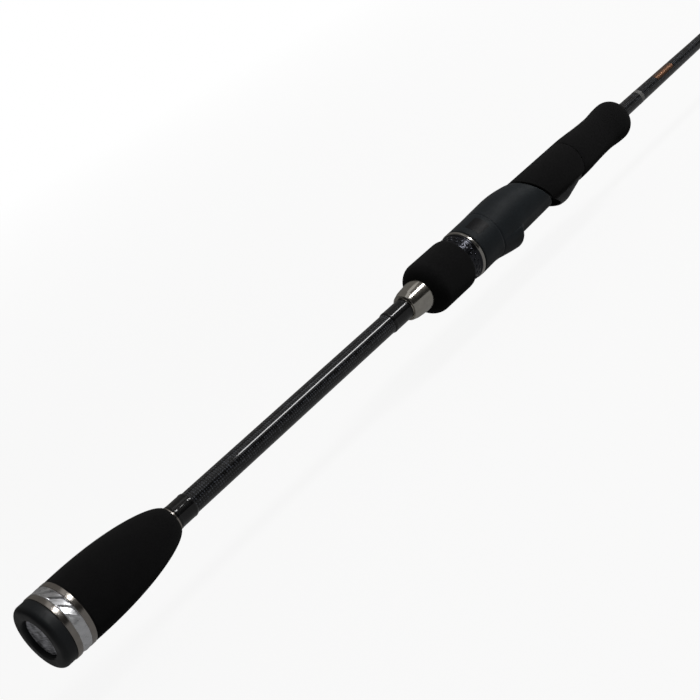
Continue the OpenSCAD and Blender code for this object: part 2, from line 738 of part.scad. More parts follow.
// The tube on the blank's end and the metal ring it carries on two legs
module tip_tube() {
    ring_x = rod_length - tip_ring_width;
    tube_r = tip_tube_bore_r + tip_tube_wall;
    leg_foot_x = tip_blank_end_x - 3;
    color("#8f9094") difference() {
        union() {
            rod_cylinder(tip_tube_x, tip_blank_end_x + 1, tube_r);
            translate([ring_x, 0, -tip_drop]) rotate([0, 90, 0])
                cylinder(h = tip_ring_width, r = tip_ring_d / 2, $fn = fine);
            for (side = [-1, 1])
                bar([ring_x + tip_ring_width / 2, side * tip_leg, -tip_drop + tip_ring_d / 2 - tip_leg / 2],
                    [leg_foot_x, side * tip_leg, -tube_r + tip_leg / 2], tip_leg, tip_leg);
        }
        rod_cylinder(tip_tube_x - cut, tip_blank_end_x + glue_gap, tip_tube_bore_r);
        translate([ring_x - cut, 0, -tip_drop]) rotate([0, 90, 0])
            cylinder(h = tip_ring_width + 2 * cut, r = tip_ring_d / 2 - guide_metal / 2, $fn = fine);
    }
}

module tip_ring() {
    outer_r = tip_ring_d / 2 - guide_metal / 2 - glue_gap;
    color("#2a2a2d") translate([rod_length - tip_ring_width, 0, -tip_drop]) rotate([0, 90, 0])
        rotate_extrude($fn = fine) polygon([
            [tip_ring_bore_r, bevel], [tip_ring_bore_r + bevel, 0], [outer_r, 0], [outer_r, tip_ring_width],
            [tip_ring_bore_r + bevel, tip_ring_width], [tip_ring_bore_r, tip_ring_width - bevel]
        ]);
}

module tip_wrap() {
    rear_x = tip_tube_x - tip_wrap_length;
    color("#121214") sleeve(rear_x, tip_tube_x - glue_gap, tip_r(rear_x) + glue_gap + wrap_thickness);
}

butt_cap();
butt_badge();
butt_ring_rear();
butt_ring_broad();
butt_ring_front();
rear_grip();
grip_check();
rear_wrap();
butt_blank();
front_wrap();
seat_check();
grip_collar();
trim_ring();
seat_ring();
reel_seat();
seat_arbor_rear();
seat_arbor_front();
moving_hood();
hood_cover();
lock_nut();
foregrip();
butt_ferrule_wrap();
tip_ferrule_wrap();
tip_blank();
for (n = [1:guide_count]) {
    guide_frame(n);
    guide_ring(n);
    guide_wrap(n);
}
tip_tube();
tip_ring();
tip_wrap();
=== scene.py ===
# A two-piece spinning rod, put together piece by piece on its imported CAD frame.
# Lengths in the sections are millimetres, as on a drawing; meshes are made in metres.
import math

import bmesh
import bpy
from mathutils import Matrix, Vector


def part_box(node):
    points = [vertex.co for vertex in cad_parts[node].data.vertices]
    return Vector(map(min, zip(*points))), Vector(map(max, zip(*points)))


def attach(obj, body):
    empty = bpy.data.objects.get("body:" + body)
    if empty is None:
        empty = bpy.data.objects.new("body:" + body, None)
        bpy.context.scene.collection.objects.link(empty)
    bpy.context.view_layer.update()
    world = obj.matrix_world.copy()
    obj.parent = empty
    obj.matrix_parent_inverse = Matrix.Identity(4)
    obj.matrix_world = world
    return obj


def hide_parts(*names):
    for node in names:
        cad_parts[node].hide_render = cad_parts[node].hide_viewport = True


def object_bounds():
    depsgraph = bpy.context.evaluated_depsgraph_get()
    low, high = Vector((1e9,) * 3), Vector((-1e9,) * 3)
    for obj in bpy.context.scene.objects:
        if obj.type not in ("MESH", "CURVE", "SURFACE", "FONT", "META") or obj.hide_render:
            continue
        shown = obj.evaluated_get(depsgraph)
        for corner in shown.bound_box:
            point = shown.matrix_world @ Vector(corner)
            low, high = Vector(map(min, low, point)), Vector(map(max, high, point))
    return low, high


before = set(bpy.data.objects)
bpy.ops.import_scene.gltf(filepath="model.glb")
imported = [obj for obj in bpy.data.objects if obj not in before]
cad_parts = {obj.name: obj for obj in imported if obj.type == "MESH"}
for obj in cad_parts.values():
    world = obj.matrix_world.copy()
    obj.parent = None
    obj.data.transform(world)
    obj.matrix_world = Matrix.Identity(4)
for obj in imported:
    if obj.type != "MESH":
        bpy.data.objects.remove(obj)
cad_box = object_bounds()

MM = 0.001

# Table and studio light
# The rod lies over a plain white table. A long strip lamp parallel to it gives lacquer its sharp
# streak, a small window lamp marks the butt, and a softbox above and a weak fill lift the sides.

TABLE_SEEN = "#f6f6f6"
TABLE_LIT = "#666666"
TABLE_HALF = 30.0
TABLE_GAP = 0.0002
TABLE_NEAR_GLOW = 0.9
TABLE_MIRRORED = 0.17
ROOM_GREY = "#d9d6d2"
ROOM_LEVEL = 0.3
ROOM_DIM = 0.03
ROOM_FAR = 0.24
BRIGHT_SIDE = (0.45, 0.35, 0.82)
LAMPS = (
    ("strip", (0.96, 0.2), 8.8, (1.28, -0.74, 1.0), (1.28, 0, 0)),
    ("window", (0.25, 0.25), 2.4, (0.5, -0.76, 1.0), (0.1, 0, 0)),
    ("softbox", (1.4, 0.35), 0.5, (0.5, -0.25, 1.25), (0.35, 0, 0)),
    ("fill", (0.9, 0.9), 0.2, (-0.9, -1.1, 0.35), (0.2, 0, 0)),
)


def linear(colour):
    """The linear RGBA of an sRGB hex colour."""
    parts = [int(colour[i:i + 2], 16) / 255 for i in (1, 3, 5)]
    return [*(c / 12.92 if c <= 0.04045 else ((c + 0.055) / 1.055) ** 2.4 for c in parts), 1.0]


def node(tree, kind, inputs=None, **settings):
    """Adds a node with its settings, and links or sets its inputs, each by name or by place."""
    made = tree.nodes.new(kind)
    for name, value in settings.items():
        setattr(made, name, value)
    for name, value in (inputs or {}).items():
        if isinstance(value, bpy.types.NodeSocket):
            tree.links.new(value, made.inputs[name])
        else:
            made.inputs[name].default_value = value
    return made


def seen_directly(tree):
    """1 for a ray from the camera or through glass, else 0; and the light path's glossy socket."""
    path = node(tree, "ShaderNodeLightPath").outputs
    direct = node(tree, "ShaderNodeMath", {0: path["Is Camera Ray"], 1: path["Is Transmission Ray"]},
                  operation="MAXIMUM")
    return direct.outputs[0], path["Is Glossy Ray"]


scene = bpy.context.scene
scene.view_settings.view_transform = "Standard"

camera_data = bpy.data.cameras.new("camera")
camera_data.lens = 72
camera_data.sensor_width = 36
camera_data.shift_x = -0.0007
camera_data.shift_y = 0.0007
camera_data.clip_start = 0.01
camera_data.clip_end = 50
camera = bpy.data.objects.new("camera", camera_data)
camera.location = (-0.16325, -0.46406, 0.17053)
camera.rotation_euler = [math.radians(angle) for angle in (71.459, 28.933, -46.097)]
scene.collection.objects.link(camera)
scene.camera = camera

world = bpy.data.worlds.new("studio")
world.use_nodes = True
scene.world = world
tree = world.node_tree
tree.nodes.clear()
direct, glossy = seen_directly(tree)
toward = node(tree, "ShaderNodeVectorMath", {0: node(tree, "ShaderNodeTexCoord").outputs["Generated"],
                                             1: BRIGHT_SIDE}, operation="DOT_PRODUCT")
far_side = node(tree, "ShaderNodeMapRange", {0: toward.outputs["Value"], 1: -0.05, 2: 0.95,
                                             3: ROOM_DIM, 4: ROOM_FAR}, interpolation_type="SMOOTHSTEP")
plain = node(tree, "ShaderNodeBackground", {"Color": linear(ROOM_GREY), "Strength": ROOM_LEVEL})
mirrored = node(tree, "ShaderNodeBackground", {"Color": linear(ROOM_GREY), "Strength": far_side.outputs[0]})
white = node(tree, "ShaderNodeBackground", {"Color": (1, 1, 1, 1), "Strength": 1.0})
room = node(tree, "ShaderNodeMixShader", {0: glossy, 1: plain.outputs[0], 2: mirrored.outputs[0]})
seen = node(tree, "ShaderNodeMixShader", {0: direct, 1: room.outputs[0], 2: white.outputs[0]})
node(tree, "ShaderNodeOutputWorld", {"Surface": seen.outputs[0]})

table = bpy.data.materials.new("painted_table")
table.use_nodes = True
tree = table.node_tree
tree.nodes.clear()
direct, glossy = seen_directly(tree)
paint_tone = node(tree, "ShaderNodeMix", {"Factor": direct, 6: linear(TABLE_LIT), 7: linear(TABLE_SEEN)},
                  data_type="RGBA")
paint = node(tree, "ShaderNodeBsdfDiffuse", {"Color": paint_tone.outputs[2]})
glow = node(tree, "ShaderNodeEmission", {"Color": (1, 1, 1, 1), "Strength": 1.0})
reach = node(tree, "ShaderNodeVectorMath", {0: node(tree, "ShaderNodeTexCoord").outputs["Object"]},
             operation="LENGTH")
near_glow = node(tree, "ShaderNodeMapRange", {0: reach.outputs["Value"], 1: 0.4, 2: 2.5,
                                              3: TABLE_NEAR_GLOW, 4: 1.0})
seen_glow = node(tree, "ShaderNodeMath", {0: near_glow.outputs[0], 1: direct}, operation="MULTIPLY")
share = node(tree, "ShaderNodeMath", {0: glossy, 1: TABLE_MIRRORED, 2: seen_glow.outputs[0]},
             operation="MULTIPLY_ADD")
mixed = node(tree, "ShaderNodeMixShader", {0: share.outputs[0], 1: paint.outputs[0], 2: glow.outputs[0]})
node(tree, "ShaderNodeOutputMaterial", {"Surface": mixed.outputs[0]})

floor_mesh = bpy.data.meshes.new("table")
floor_mesh.from_pydata([(side * TABLE_HALF, end * TABLE_HALF, cad_box[0].z - TABLE_GAP)
                        for side, end in ((-1, -1), (1, -1), (1, 1), (-1, 1))], [], [(0, 1, 2, 3)])
floor_mesh.materials.append(table)
floor = bpy.data.objects.new("table", floor_mesh)
scene.collection.objects.link(floor)

for name, size, power, place, aim in LAMPS:
    lamp = bpy.data.lights.new(name, "AREA")
    lamp.shape = "RECTANGLE"
    lamp.size, lamp.size_y = size
    lamp.energy = power
    lamp_object = bpy.data.objects.new(name, lamp)
    lamp_object.location = place
    lamp_object.rotation_euler = (Vector(aim) - Vector(place)).to_track_quat("-Z", "Y").to_euler()
    lamp_object.visible_camera = False
    scene.collection.objects.link(lamp_object)

# Blank
# Two tapered tubes of rolled carbon fibre with a bias-cut scrim on the outside, sanded and
# coated in clear polyurethane. The butt tube ends in the male half of the ferrule.

BLANK_WALL = 1.0
BUTT_TAPER = [(0, 5.0), (223, 4.7), (413.7, 3.95), (499.7, 3.25), (960, 2.6)]
TIP_TAPER = [(960, 3.33), (1024, 3.33), (1044, 2.55), (1976.4, 0.75)]
FERRULE_BORE_R = 2.63
TIP_HOLLOW = 612
BLANK_SIDES = 96
SCRIM_PITCH = 2.4
SCRIM_STARTS = 12
LACQUER_DARK = "#040405"
LACQUER_FIBRE = "#4a4d54"


def lookup(x, rows):
    """Straight-line value at x in rows of (x, value)."""
    for (x0, v0), (x1, v1) in zip(rows, rows[1:]):
        if x <= x1:
            return v0 + (v1 - v0) * max(0, x - x0) / (x1 - x0)
    return rows[-1][1]


def span(name):
    """Where a CAD node begins and ends along the rod."""
    low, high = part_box(name)
    return low.x / MM, high.x / MM


def blank_r(x):
    """Radius of the blank at x."""
    return lookup(x, BUTT_TAPER if x < BUTT_TAPER[-1][0] else TIP_TAPER)


def mesh_piece(name, points, faces, finish, corners=None, sharp=38):
    """A smooth-shaded object from points in millimetres. corners holds a (u, v) for each face corner."""
    mesh = bpy.data.meshes.new(name)
    mesh.from_pydata([Vector(p) * MM for p in points], [], faces)
    if corners:
        layer = mesh.uv_layers.new(name="UVMap")
        layer.data.foreach_set("uv", [c for corner in corners for c in corner])
    mesh.materials.append(finish)
    piece = bpy.data.objects.new(name, mesh)
    scene.collection.objects.link(piece)
    face_out(mesh, sharp)
    return piece


def face_out(mesh, sharp=38):
    """Turns the faces of a closed mesh outwards, and shades it smooth but for its sharp edges."""
    edit = bmesh.new()
    edit.from_mesh(mesh)
    bmesh.ops.recalc_face_normals(edit, faces=edit.faces)
    edit.to_mesh(mesh)
    edit.free()
    mesh.shade_smooth()
    mesh.set_sharp_from_angle(angle=math.radians(sharp))


def turned(name, outline, finish, sides=128, sharp=38):
    """A closed outline of (x, r) turned about the rod's axis. UV is (x, turns round)."""
    points, rows, faces, corners = [], [], [], []
    for x, r in outline:
        rows.append(len(points))
        for j in range(sides if r > 0 else 1):
            angle = 2 * math.pi * j / sides - math.pi / 2
            points.append((x, r * math.cos(angle), r * math.sin(angle)))
    for i, (x, r) in enumerate(outline):
        k = (i + 1) % len(outline)
        next_x, next_r = outline[k]
        for j in range(sides):
            m = (j + 1) % sides
            v0, v1 = j / sides, (j + 1) / sides
            ring = [(rows[i] + j, (x, v0)), (rows[i] + m, (x, v1))] if r > 0 else [(rows[i], (x, v0))]
            ring += ([(rows[k] + m, (next_x, v1)), (rows[k] + j, (next_x, v0))] if next_r > 0
                     else [(rows[k], (next_x, v0))])
            if len(ring) > 2:
                faces.append([index for index, _ in ring])
                corners += [uv for _, uv in ring]
    return mesh_piece(name, points, faces, finish, corners, sharp)


def fit(piece, body, slot, *nodes):
    """Puts a piece on the body it rides on and hides the CAD nodes it stands for. slot is not used."""
    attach(piece, body)
    if nodes:
        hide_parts(*nodes)


def new_finish(name, **sockets):
    """A Principled material with plain values on its sockets, with its tree and its shader."""
    made = bpy.data.materials.new(name)
    made.use_nodes = True
    shader = made.node_tree.nodes["Principled BSDF"]
    for socket, value in sockets.items():
        shader.inputs[socket.replace("_", " ")].default_value = value
    return made, made.node_tree, shader


def patterned(tree, shader, tones, relief=None, shine=None):
    """Lets patterns drive a finish. tones is a pattern and its dark and light colour, relief a
    pattern, its strength and its height in mm, and shine a pattern and the roughness at its ends."""
    tone = node(tree, "ShaderNodeMix", {"Factor": tones[0], 6: linear(tones[1]), 7: linear(tones[2])},
                data_type="RGBA")
    tree.links.new(tone.outputs[2], shader.inputs["Base Color"])
    if relief:
        raised = node(tree, "ShaderNodeBump", {"Height": relief[0], "Strength": relief[1],
                                               "Distance": relief[2] * MM})
        tree.links.new(raised.outputs[0], shader.inputs["Normal"])
    if shine:
        rough = node(tree, "ShaderNodeMapRange", {0: shine[0], 1: 0.3, 2: 0.7, 3: shine[1], 4: shine[2]})
        tree.links.new(rough.outputs[0], shader.inputs["Roughness"])


# Clear-coated carbon: a deep gloss over grey scrim lines that cross at an angle and break up
# where the sanding has cut them, with fine fibres along the tube.
carbon, tree, shader = new_finish("clear_coated_carbon", Roughness=0.42, Coat_Weight=1.0,
                                  Coat_Roughness=0.035, Coat_IOR=1.5, Specular_IOR_Level=0.08)
place = node(tree, "ShaderNodeTexCoord").outputs
apart = node(tree, "ShaderNodeSeparateXYZ", {0: place["UV"]}).outputs
along = node(tree, "ShaderNodeMath", {0: apart["X"], 1: 2 * math.pi / SCRIM_PITCH},
             operation="MULTIPLY").outputs[0]
around = node(tree, "ShaderNodeMath", {0: apart["Y"], 1: 2 * math.pi * SCRIM_STARTS},
              operation="MULTIPLY").outputs[0]
left = node(tree, "ShaderNodeMath", {0: along, 1: around}, operation="ADD").outputs[0]
right = node(tree, "ShaderNodeMath", {0: along, 1: around}, operation="SUBTRACT").outputs[0]
waves = [node(tree, "ShaderNodeMath", {0: way}, operation="SINE").outputs[0] for way in (left, right)]
scrim = node(tree, "ShaderNodeMath", {0: waves[0], 1: waves[1]}, operation="MULTIPLY").outputs[0]
sanding = node(tree, "ShaderNodeTexNoise", {"Vector": place["Object"], "Scale": 1 / (1.6 * MM),
                                            "Detail": 3.0}).outputs[0]
stretch = node(tree, "ShaderNodeMapping", {"Vector": place["Object"], "Scale": (0.06, 1.0, 1.0)})
fibre = node(tree, "ShaderNodeTexNoise", {"Vector": stretch.outputs[0], "Scale": 1 / (0.25 * MM),
                                          "Detail": 2.0}).outputs[0]
broken = node(tree, "ShaderNodeMath", {0: scrim, 1: 0.35, 2: sanding}, operation="MULTIPLY_ADD").outputs[0]
grain = node(tree, "ShaderNodeMath", {0: fibre, 1: 0.35, 2: broken}, operation="MULTIPLY_ADD").outputs[0]
tone = node(tree, "ShaderNodeValToRGB", {0: grain})
tone.color_ramp.elements[0].position = 0.72
tone.color_ramp.elements[0].color = linear(LACQUER_DARK)
tone.color_ramp.elements[1].position = 1.0
tone.color_ramp.elements[1].color = linear(LACQUER_FIBRE)
tree.links.new(tone.outputs[0], shader.inputs["Base Color"])
fibres = node(tree, "ShaderNodeBump", {"Height": grain, "Strength": 0.12, "Distance": 0.03 * MM})
tree.links.new(fibres.outputs[0], shader.inputs["Normal"])

butt_start, butt_end = span("butt_blank")
male_r = BUTT_TAPER[-1][1]
outer = [(butt_start, blank_r(butt_start))] + [row for row in BUTT_TAPER if row[0] > butt_start]
bore = [(butt_end, male_r - BLANK_WALL)] + [(x, r - BLANK_WALL) for x, r in reversed(outer)]
outer += [(butt_end - 0.5, male_r), (butt_end, male_r - 0.4)]
butt_tube = turned("butt_tube_carbon", outer + bore, carbon, BLANK_SIDES)
fit(butt_tube, "butt_section", "carbon_blank", "butt_blank")

tip_start, tip_end = span("tip_blank")
hollow_end = tip_start + TIP_HOLLOW
outer = [(tip_start, 3.25), (tip_start + 0.2, 3.33)] + TIP_TAPER[1:]
tip_tube = turned("tip_tube_carbon", outer + [
    (tip_end, 0), (hollow_end, 0), (hollow_end, 0.8), (1045, 1.85), (1023, FERRULE_BORE_R),
    (tip_start + 0.3, FERRULE_BORE_R), (tip_start, FERRULE_BORE_R + 0.2)], carbon, BLANK_SIDES)
fit(tip_tube, "tip_section", "carbon_blank", "tip_blank")

# Trim on the front of the handle's blank
# A painted grey band and a plain copper foil, both under the blank's clear coat. Each is a
# skin a few hundredths of a millimetre thick.

BAND_X = (434.4, 437.2)
FOIL_X = (454, 472)
FOIL_ANGLES = (92, 168)
BAND_GREY = "#6b6a68"
FOIL_COPPER = "#7e5b45"
FILM = 0.05


def patch(name, x_range, angles, surface, rise, finish, corner=0.2, steps=(24, 24)):
    """A thin closed plate with rounded corners that lies on surface(x, angle), in degrees."""
    columns, rows = steps
    middle_a, half_a = sum(angles) / 2, (angles[1] - angles[0]) / 2
    middle_x, half_x = sum(x_range) / 2, (x_range[1] - x_range[0]) / 2
    points, faces = [], []
    for lift in (rise, -rise / 2):
        for i in range(columns + 1):
            u = 2 * i / columns - 1
            inside = max(0, abs(u) - 1 + corner) / corner
            width = 1 - corner * (1 - math.sqrt(max(0, 1 - inside * inside)))
            for j in range(rows + 1):
                x = middle_x + half_x * u
                a = math.radians(middle_a + half_a * width * (2 * j / rows - 1))
                r = surface(x, math.degrees(a)) + lift
                points.append((x, r * math.cos(a), r * math.sin(a)))
    across = rows + 1
    under = (columns + 1) * across
    for i in range(columns):
        for j in range(rows):
            p = i * across + j
            faces.append((p, p + 1, p + across + 1, p + across))
            faces.append((under + p, under + p + across, under + p + across + 1, under + p + 1))
    rim = [(j, j + 1) for j in range(rows)]
    rim += [(columns * across + j + 1, columns * across + j) for j in range(rows)]
    rim += [((i + 1) * across, i * across) for i in range(columns)]
    rim += [(i * across + rows, (i + 1) * across + rows) for i in range(columns)]
    faces += [(a, b, b + under, a + under) for a, b in rim]
    return mesh_piece(name, points, faces, finish)


def lacquer(name, colour, metallic, roughness):
    """A flat colour or foil under clear coat, with the faint unevenness of a rolled-on film."""
    made, tree, shader = new_finish(name, Metallic=metallic, Roughness=roughness, Coat_Weight=1.0,
                                    Coat_Roughness=0.04)
    place = node(tree, "ShaderNodeTexCoord").outputs["Object"]
    cloud = node(tree, "ShaderNodeTexNoise", {"Vector": place, "Scale": 1 / (2.5 * MM), "Detail": 4.0})
    shade = node(tree, "ShaderNodeHueSaturation", {"Color": linear(colour)})
    value = node(tree, "ShaderNodeMapRange", {0: cloud.outputs[0], 1: 0.3, 2: 0.7, 3: 0.8, 4: 1.15})
    tree.links.new(value.outputs[0], shade.inputs["Value"])
    tree.links.new(shade.outputs[0], shader.inputs["Base Color"])
    return made


band_outline = [(x, blank_r(x) + lift) for x, lift in (
    (BAND_X[0], -FILM), (BAND_X[0], FILM), (BAND_X[1], FILM), (BAND_X[1], -FILM))]
grey_band = turned("band_grey", band_outline, lacquer("grey_lacquer_band", BAND_GREY, 0.0, 0.5), BLANK_SIDES)
fit(grey_band, "butt_section", "satin_ring")
copper_foil = patch("foil_copper", FOIL_X, FOIL_ANGLES, lambda x, a: blank_r(x), FILM,
                    lacquer("copper_foil", FOIL_COPPER, 1.0, 0.38))
fit(copper_foil, "butt_section", "satin_ring")

# Thread wraps
# Fine black nylon thread wound tight round the blank and flooded with clear epoxy on a turning
# rack, so the coat is thick in the middle and thins to a meniscus at both ends.

WRAP = 0.35
WRAP_GAP = 0.03
WRAP_STEPS = 48
THREAD_PITCH = 0.5
WRAP_BLACK = "#060607"
WRAP_SHEEN = "#111114"

# Thread under epoxy: wet-looking black with fine rings just under the surface. Real thread of
# 0.15 mm would not show, so the rings are drawn 0.5 mm apart.
thread, tree, shader = new_finish("nylon_thread_under_epoxy", Roughness=0.45, Coat_Weight=1.0,
                                  Coat_Roughness=0.02, Coat_IOR=1.5, Specular_IOR_Level=0.1)
apart = node(tree, "ShaderNodeSeparateXYZ", {0: node(tree, "ShaderNodeTexCoord").outputs["UV"]})
turns = node(tree, "ShaderNodeMath", {0: apart.outputs["X"], 1: 2 * math.pi / THREAD_PITCH},
             operation="MULTIPLY")
ridge = node(tree, "ShaderNodeMath", {0: turns.outputs[0]}, operation="SINE").outputs[0]
patterned(tree, shader, (ridge, WRAP_BLACK, WRAP_SHEEN), (ridge, 0.35, 0.06))


def stations(x0, x1, steps):
    """Places from x0 to x1, closer together towards both ends."""
    return [x0 + (x1 - x0) * (0.5 - 0.5 * math.cos(math.pi * i / steps)) for i in range(steps + 1)]


def wrap_height(x, x0, x1, thickness):
    """Thickness of the coated thread at x: full inside, rounded off over its last millimetre."""
    edge = min(0.9, (x1 - x0) / 3)
    near = max(0.0, min(1.0, min(x - x0, x1 - x) / edge))
    bead = 0.3 * math.exp(-((min(x - x0, x1 - x) - 1.1) / 0.5) ** 2)
    wave = 0.03 * math.sin(1.1 * x) + 0.02 * math.sin(0.47 * x + 1.0)
    return thickness * math.sqrt(1 - (1 - near) ** 2.2) * (1 + wave * near + bead)


for node_name, body in (("rear_wrap", "butt_section"), ("front_wrap", "butt_section"),
                        ("butt_ferrule_wrap", "butt_section"), ("tip_ferrule_wrap", "tip_section"),
                        ("tip_wrap", "tip_section")):
    x0, x1 = span(node_name)
    core = BUTT_TAPER if body == "butt_section" else TIP_TAPER
    coat = [(x, lookup(x, core) + WRAP_GAP + wrap_height(x, x0, x1, WRAP))
            for x in stations(x0, x1, WRAP_STEPS)]
    under = [(x1, coat[-1][1] - 0.05), (x0, coat[0][1] - 0.05)]
    winding = turned(node_name.replace("wrap", "winding"), coat + under, thread)
    fit(winding, body, "coated_thread", node_name)

# Reel seat arbors
# Two sleeves of rigid grey-brown urethane foam that centre the seat on the blank. They are
# turned, glued in and hidden, so the CAD sleeves stay.

ARBOR_TAN = "#7d6a52"
ARBOR_PIT = "#55473a"

# Rigid urethane foam: open cut cells of about 0.4 mm, dull and chalky.
arbor, tree, shader = new_finish("rigid_urethane_foam", Roughness=0.9, Specular_IOR_Level=0.2)
place = node(tree, "ShaderNodeTexCoord").outputs["Object"]
cells = node(tree, "ShaderNodeTexVoronoi", {"Vector": place, "Scale": 1 / (0.4 * MM)}).outputs[0]
patterned(tree, shader, (cells, ARBOR_TAN, ARBOR_PIT), (cells, 0.4, 0.1))


def refinish(node_name, finish):
    """Gives a CAD node that stays in the model its finish."""
    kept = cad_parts[node_name]
    kept.data.materials.clear()
    kept.data.materials.append(finish)


for node_name in ("seat_arbor_rear", "seat_arbor_front"):
    refinish(node_name, arbor)

# Reel seat body
# One nylon moulding with a soft-touch coat: a palm swell on top, the fixed hood and the flat
# for a reel's foot below, and a slanted front rim. A groove marks where its tail cover ends.

SEAT_TOP = [(0, 12.4), (12, 12.65), (21, 13.1), (30.5, 13.5), (35.5, 13.35), (40, 12.9), (45.5, 12.1),
            (50, 11.1), (64, 10.9)]
SEAT_BOTTOM = [(0, 12.5), (11.5, 12.1), (16, 12.5), (21, 13.5), (26, 14.4), (30.5, 15.05), (32.5, 11.4),
               (64, 10.5)]
SEAT_SIDE = [(0, 12.45), (12, 12.2), (30, 12.1), (40, 11.6), (50, 11.1), (64, 10.8)]
FOOT_FLAT = 9.8
HOOD_MOUTH_X = 301.0
RIM_X = 334.2
RIM_SLANT = 14
BARREL_CORE_R = 7.6
SEAT_BORE_R = 6.2
POCKET_FLOOR = FOOT_FLAT - 0.3
POCKET_R = 7.8
POCKET_DEPTH = 13.85
POCKET_LENGTH = 5.5
SEAT_VOXEL = 0.27
SEAT_RINGS = 150
GROOVE_X = 286.4
SEAT_GREY = "#11161a"
SEAT_WORN = "#192127"
PANEL_X = (274.6, 283.6)
PANEL_ANGLES = (112, 150)
PANEL_BLACK = "#0a0a0d"
PANEL_WORN = "#101115"
seat_x = span("seat_ring")[1]


def smooth_lookup(x, rows):
    """As lookup, but eased over 1.6 mm either side, as a moulding has no sharp change of slope."""
    return sum(lookup(x + 0.4 * k, rows) for k in range(-4, 5)) / 9


def underside(sine, edge, power):
    """How far a bump below stands out: 0 beside it and 1 at the bottom. sine is of the angle."""
    low = math.sin(math.radians(edge))
    return max(0.0, (-sine - low) / (1 - low)) ** power


def rim_x(sine):
    """Where the slanted rim lies at an angle with that sine."""
    return RIM_X - RIM_SLANT * (1 + sine) / 2


def seat_r(x, degrees):
    """Distance of the seat's skin from the rod's axis."""
    sine = math.sin(math.radians(degrees))
    side = smooth_lookup(x - seat_x, SEAT_SIDE)
    if sine > 0:
        return side + (smooth_lookup(x - seat_x, SEAT_TOP) - side) * sine ** 1.5
    sample = smooth_lookup if x < HOOD_MOUTH_X - 2 else lookup
    return side + (sample(x - seat_x, SEAT_BOTTOM) - side) * underside(sine, 20, 0.5)


def wall(rows, sides, capped=False):
    """Faces over rows of points, each row a loop. The last row meets the first, or both are capped."""
    faces = [(i * sides + j, i * sides + (j + 1) % sides,
              (i + 1) % rows * sides + (j + 1) % sides, (i + 1) % rows * sides + j)
             for i in range(rows - 1 if capped else rows) for j in range(sides)]
    if capped:
        faces += [tuple(range(sides)), tuple((rows - 1) * sides + j for j in reversed(range(sides)))]
    return faces


def polar(name, rings, finish, sides=180):
    """A closed skin through rings, each a function from degrees to (x, r); the last meets the first."""
    points = []
    for ring in rings:
        for j in range(sides):
            degrees = 360 * j / sides - 90
            x, r = ring(degrees)
            a = math.radians(degrees)
            points.append((x, r * math.cos(a), r * math.sin(a)))
    return mesh_piece(name, points, wall(len(rings), sides), finish)


def block(low, high):
    """A box used as a cutter, given by its corners."""
    (x0, y0, z0), (x1, y1, z1) = low, high
    return prism(x0, x1, [(y0, z0), (y1, z0), (y1, z1), (y0, z1)])


def prism(x0, x1, outline):
    """A cutter of constant outline, in (y, z), from x0 to x1."""
    points = [(x, y, z) for x in (x0, x1) for y, z in outline]
    return mesh_piece("cutter", points, wall(2, len(outline), capped=True), None)


def pocket_outline(floor, depth, radius, steps=48):
    """The D-shaped space in a hood: round below, flat at floor."""
    centre = radius - depth
    reach = math.acos((centre + floor) / radius)
    arc = [math.pi * 1.5 + reach * (2 * i / steps - 1) for i in range(steps + 1)]
    return [(radius * math.cos(a), centre + radius * math.sin(a)) for a in arc]


def moulded(piece, cutters, voxel, relax=3):
    """Cuts the cutters away, then remeshes and relaxes the piece, which eases its edges as a mould
    does. With no voxel it only cuts."""
    for cutter in cutters:
        cut = piece.modifiers.new("cut", "BOOLEAN")
        cut.operation = "DIFFERENCE"
        cut.solver = "EXACT"
        cut.object = cutter
    if voxel:
        remesh = piece.modifiers.new("remesh", "REMESH")
        remesh.mode = "VOXEL"
        remesh.voxel_size = voxel * MM
        smooth = piece.modifiers.new("relax", "SMOOTH")
        smooth.factor = 0.5
        smooth.iterations = relax
    settle(piece)
    for cutter in cutters:
        bpy.data.objects.remove(cutter)


def settle(piece, sharp=38):
    """Replaces a piece's mesh with what its modifiers make of it, and removes them."""
    finish = piece.data.materials[0] if piece.data.materials else None
    made = bpy.data.meshes.new_from_object(piece.evaluated_get(bpy.context.evaluated_depsgraph_get()))
    piece.modifiers.clear()
    piece.data = made
    made.materials.clear()
    made.materials.append(finish)
    made.polygons.foreach_set("material_index", [0] * len(made.polygons))
    face_out(made, sharp)


# Soft-touch nylon: a velvety charcoal paint film over the moulding, faintly mottled where hands
# have polished it, with a grain too fine to see that kills every sharp reflection.
soft_touch, tree, shader = new_finish("soft_touch_nylon", Roughness=0.62, Specular_IOR_Level=0.25,
                                      Sheen_Weight=0.12, Sheen_Roughness=0.4)
place = node(tree, "ShaderNodeTexCoord").outputs["Object"]
handling = node(tree, "ShaderNodeTexNoise", {
    "Vector": place, "Scale": 1 / (14 * MM), "Detail": 3.0}).outputs[0]
grain = node(tree, "ShaderNodeTexNoise", {
    "Vector": place, "Scale": 1 / (0.35 * MM), "Detail": 2.0}).outputs[0]
patterned(tree, shader, (handling, SEAT_GREY, SEAT_WORN), (grain, 0.18, 0.05), (handling, 0.68, 0.52))


def seat_slice(rear_inset, share, front_inset, drawn_in):
    """A ring of the seat's skin at a share of the way from its rear face to its slanted rim."""
    def ring(degrees):
        start = seat_x + rear_inset
        x = start + share * (rim_x(math.sin(math.radians(degrees))) - front_inset - start)
        groove = 0.34 * math.exp(-((x - GROOVE_X) / 0.34) ** 2)
        return x, seat_r(x, degrees) - groove - drawn_in
    return ring


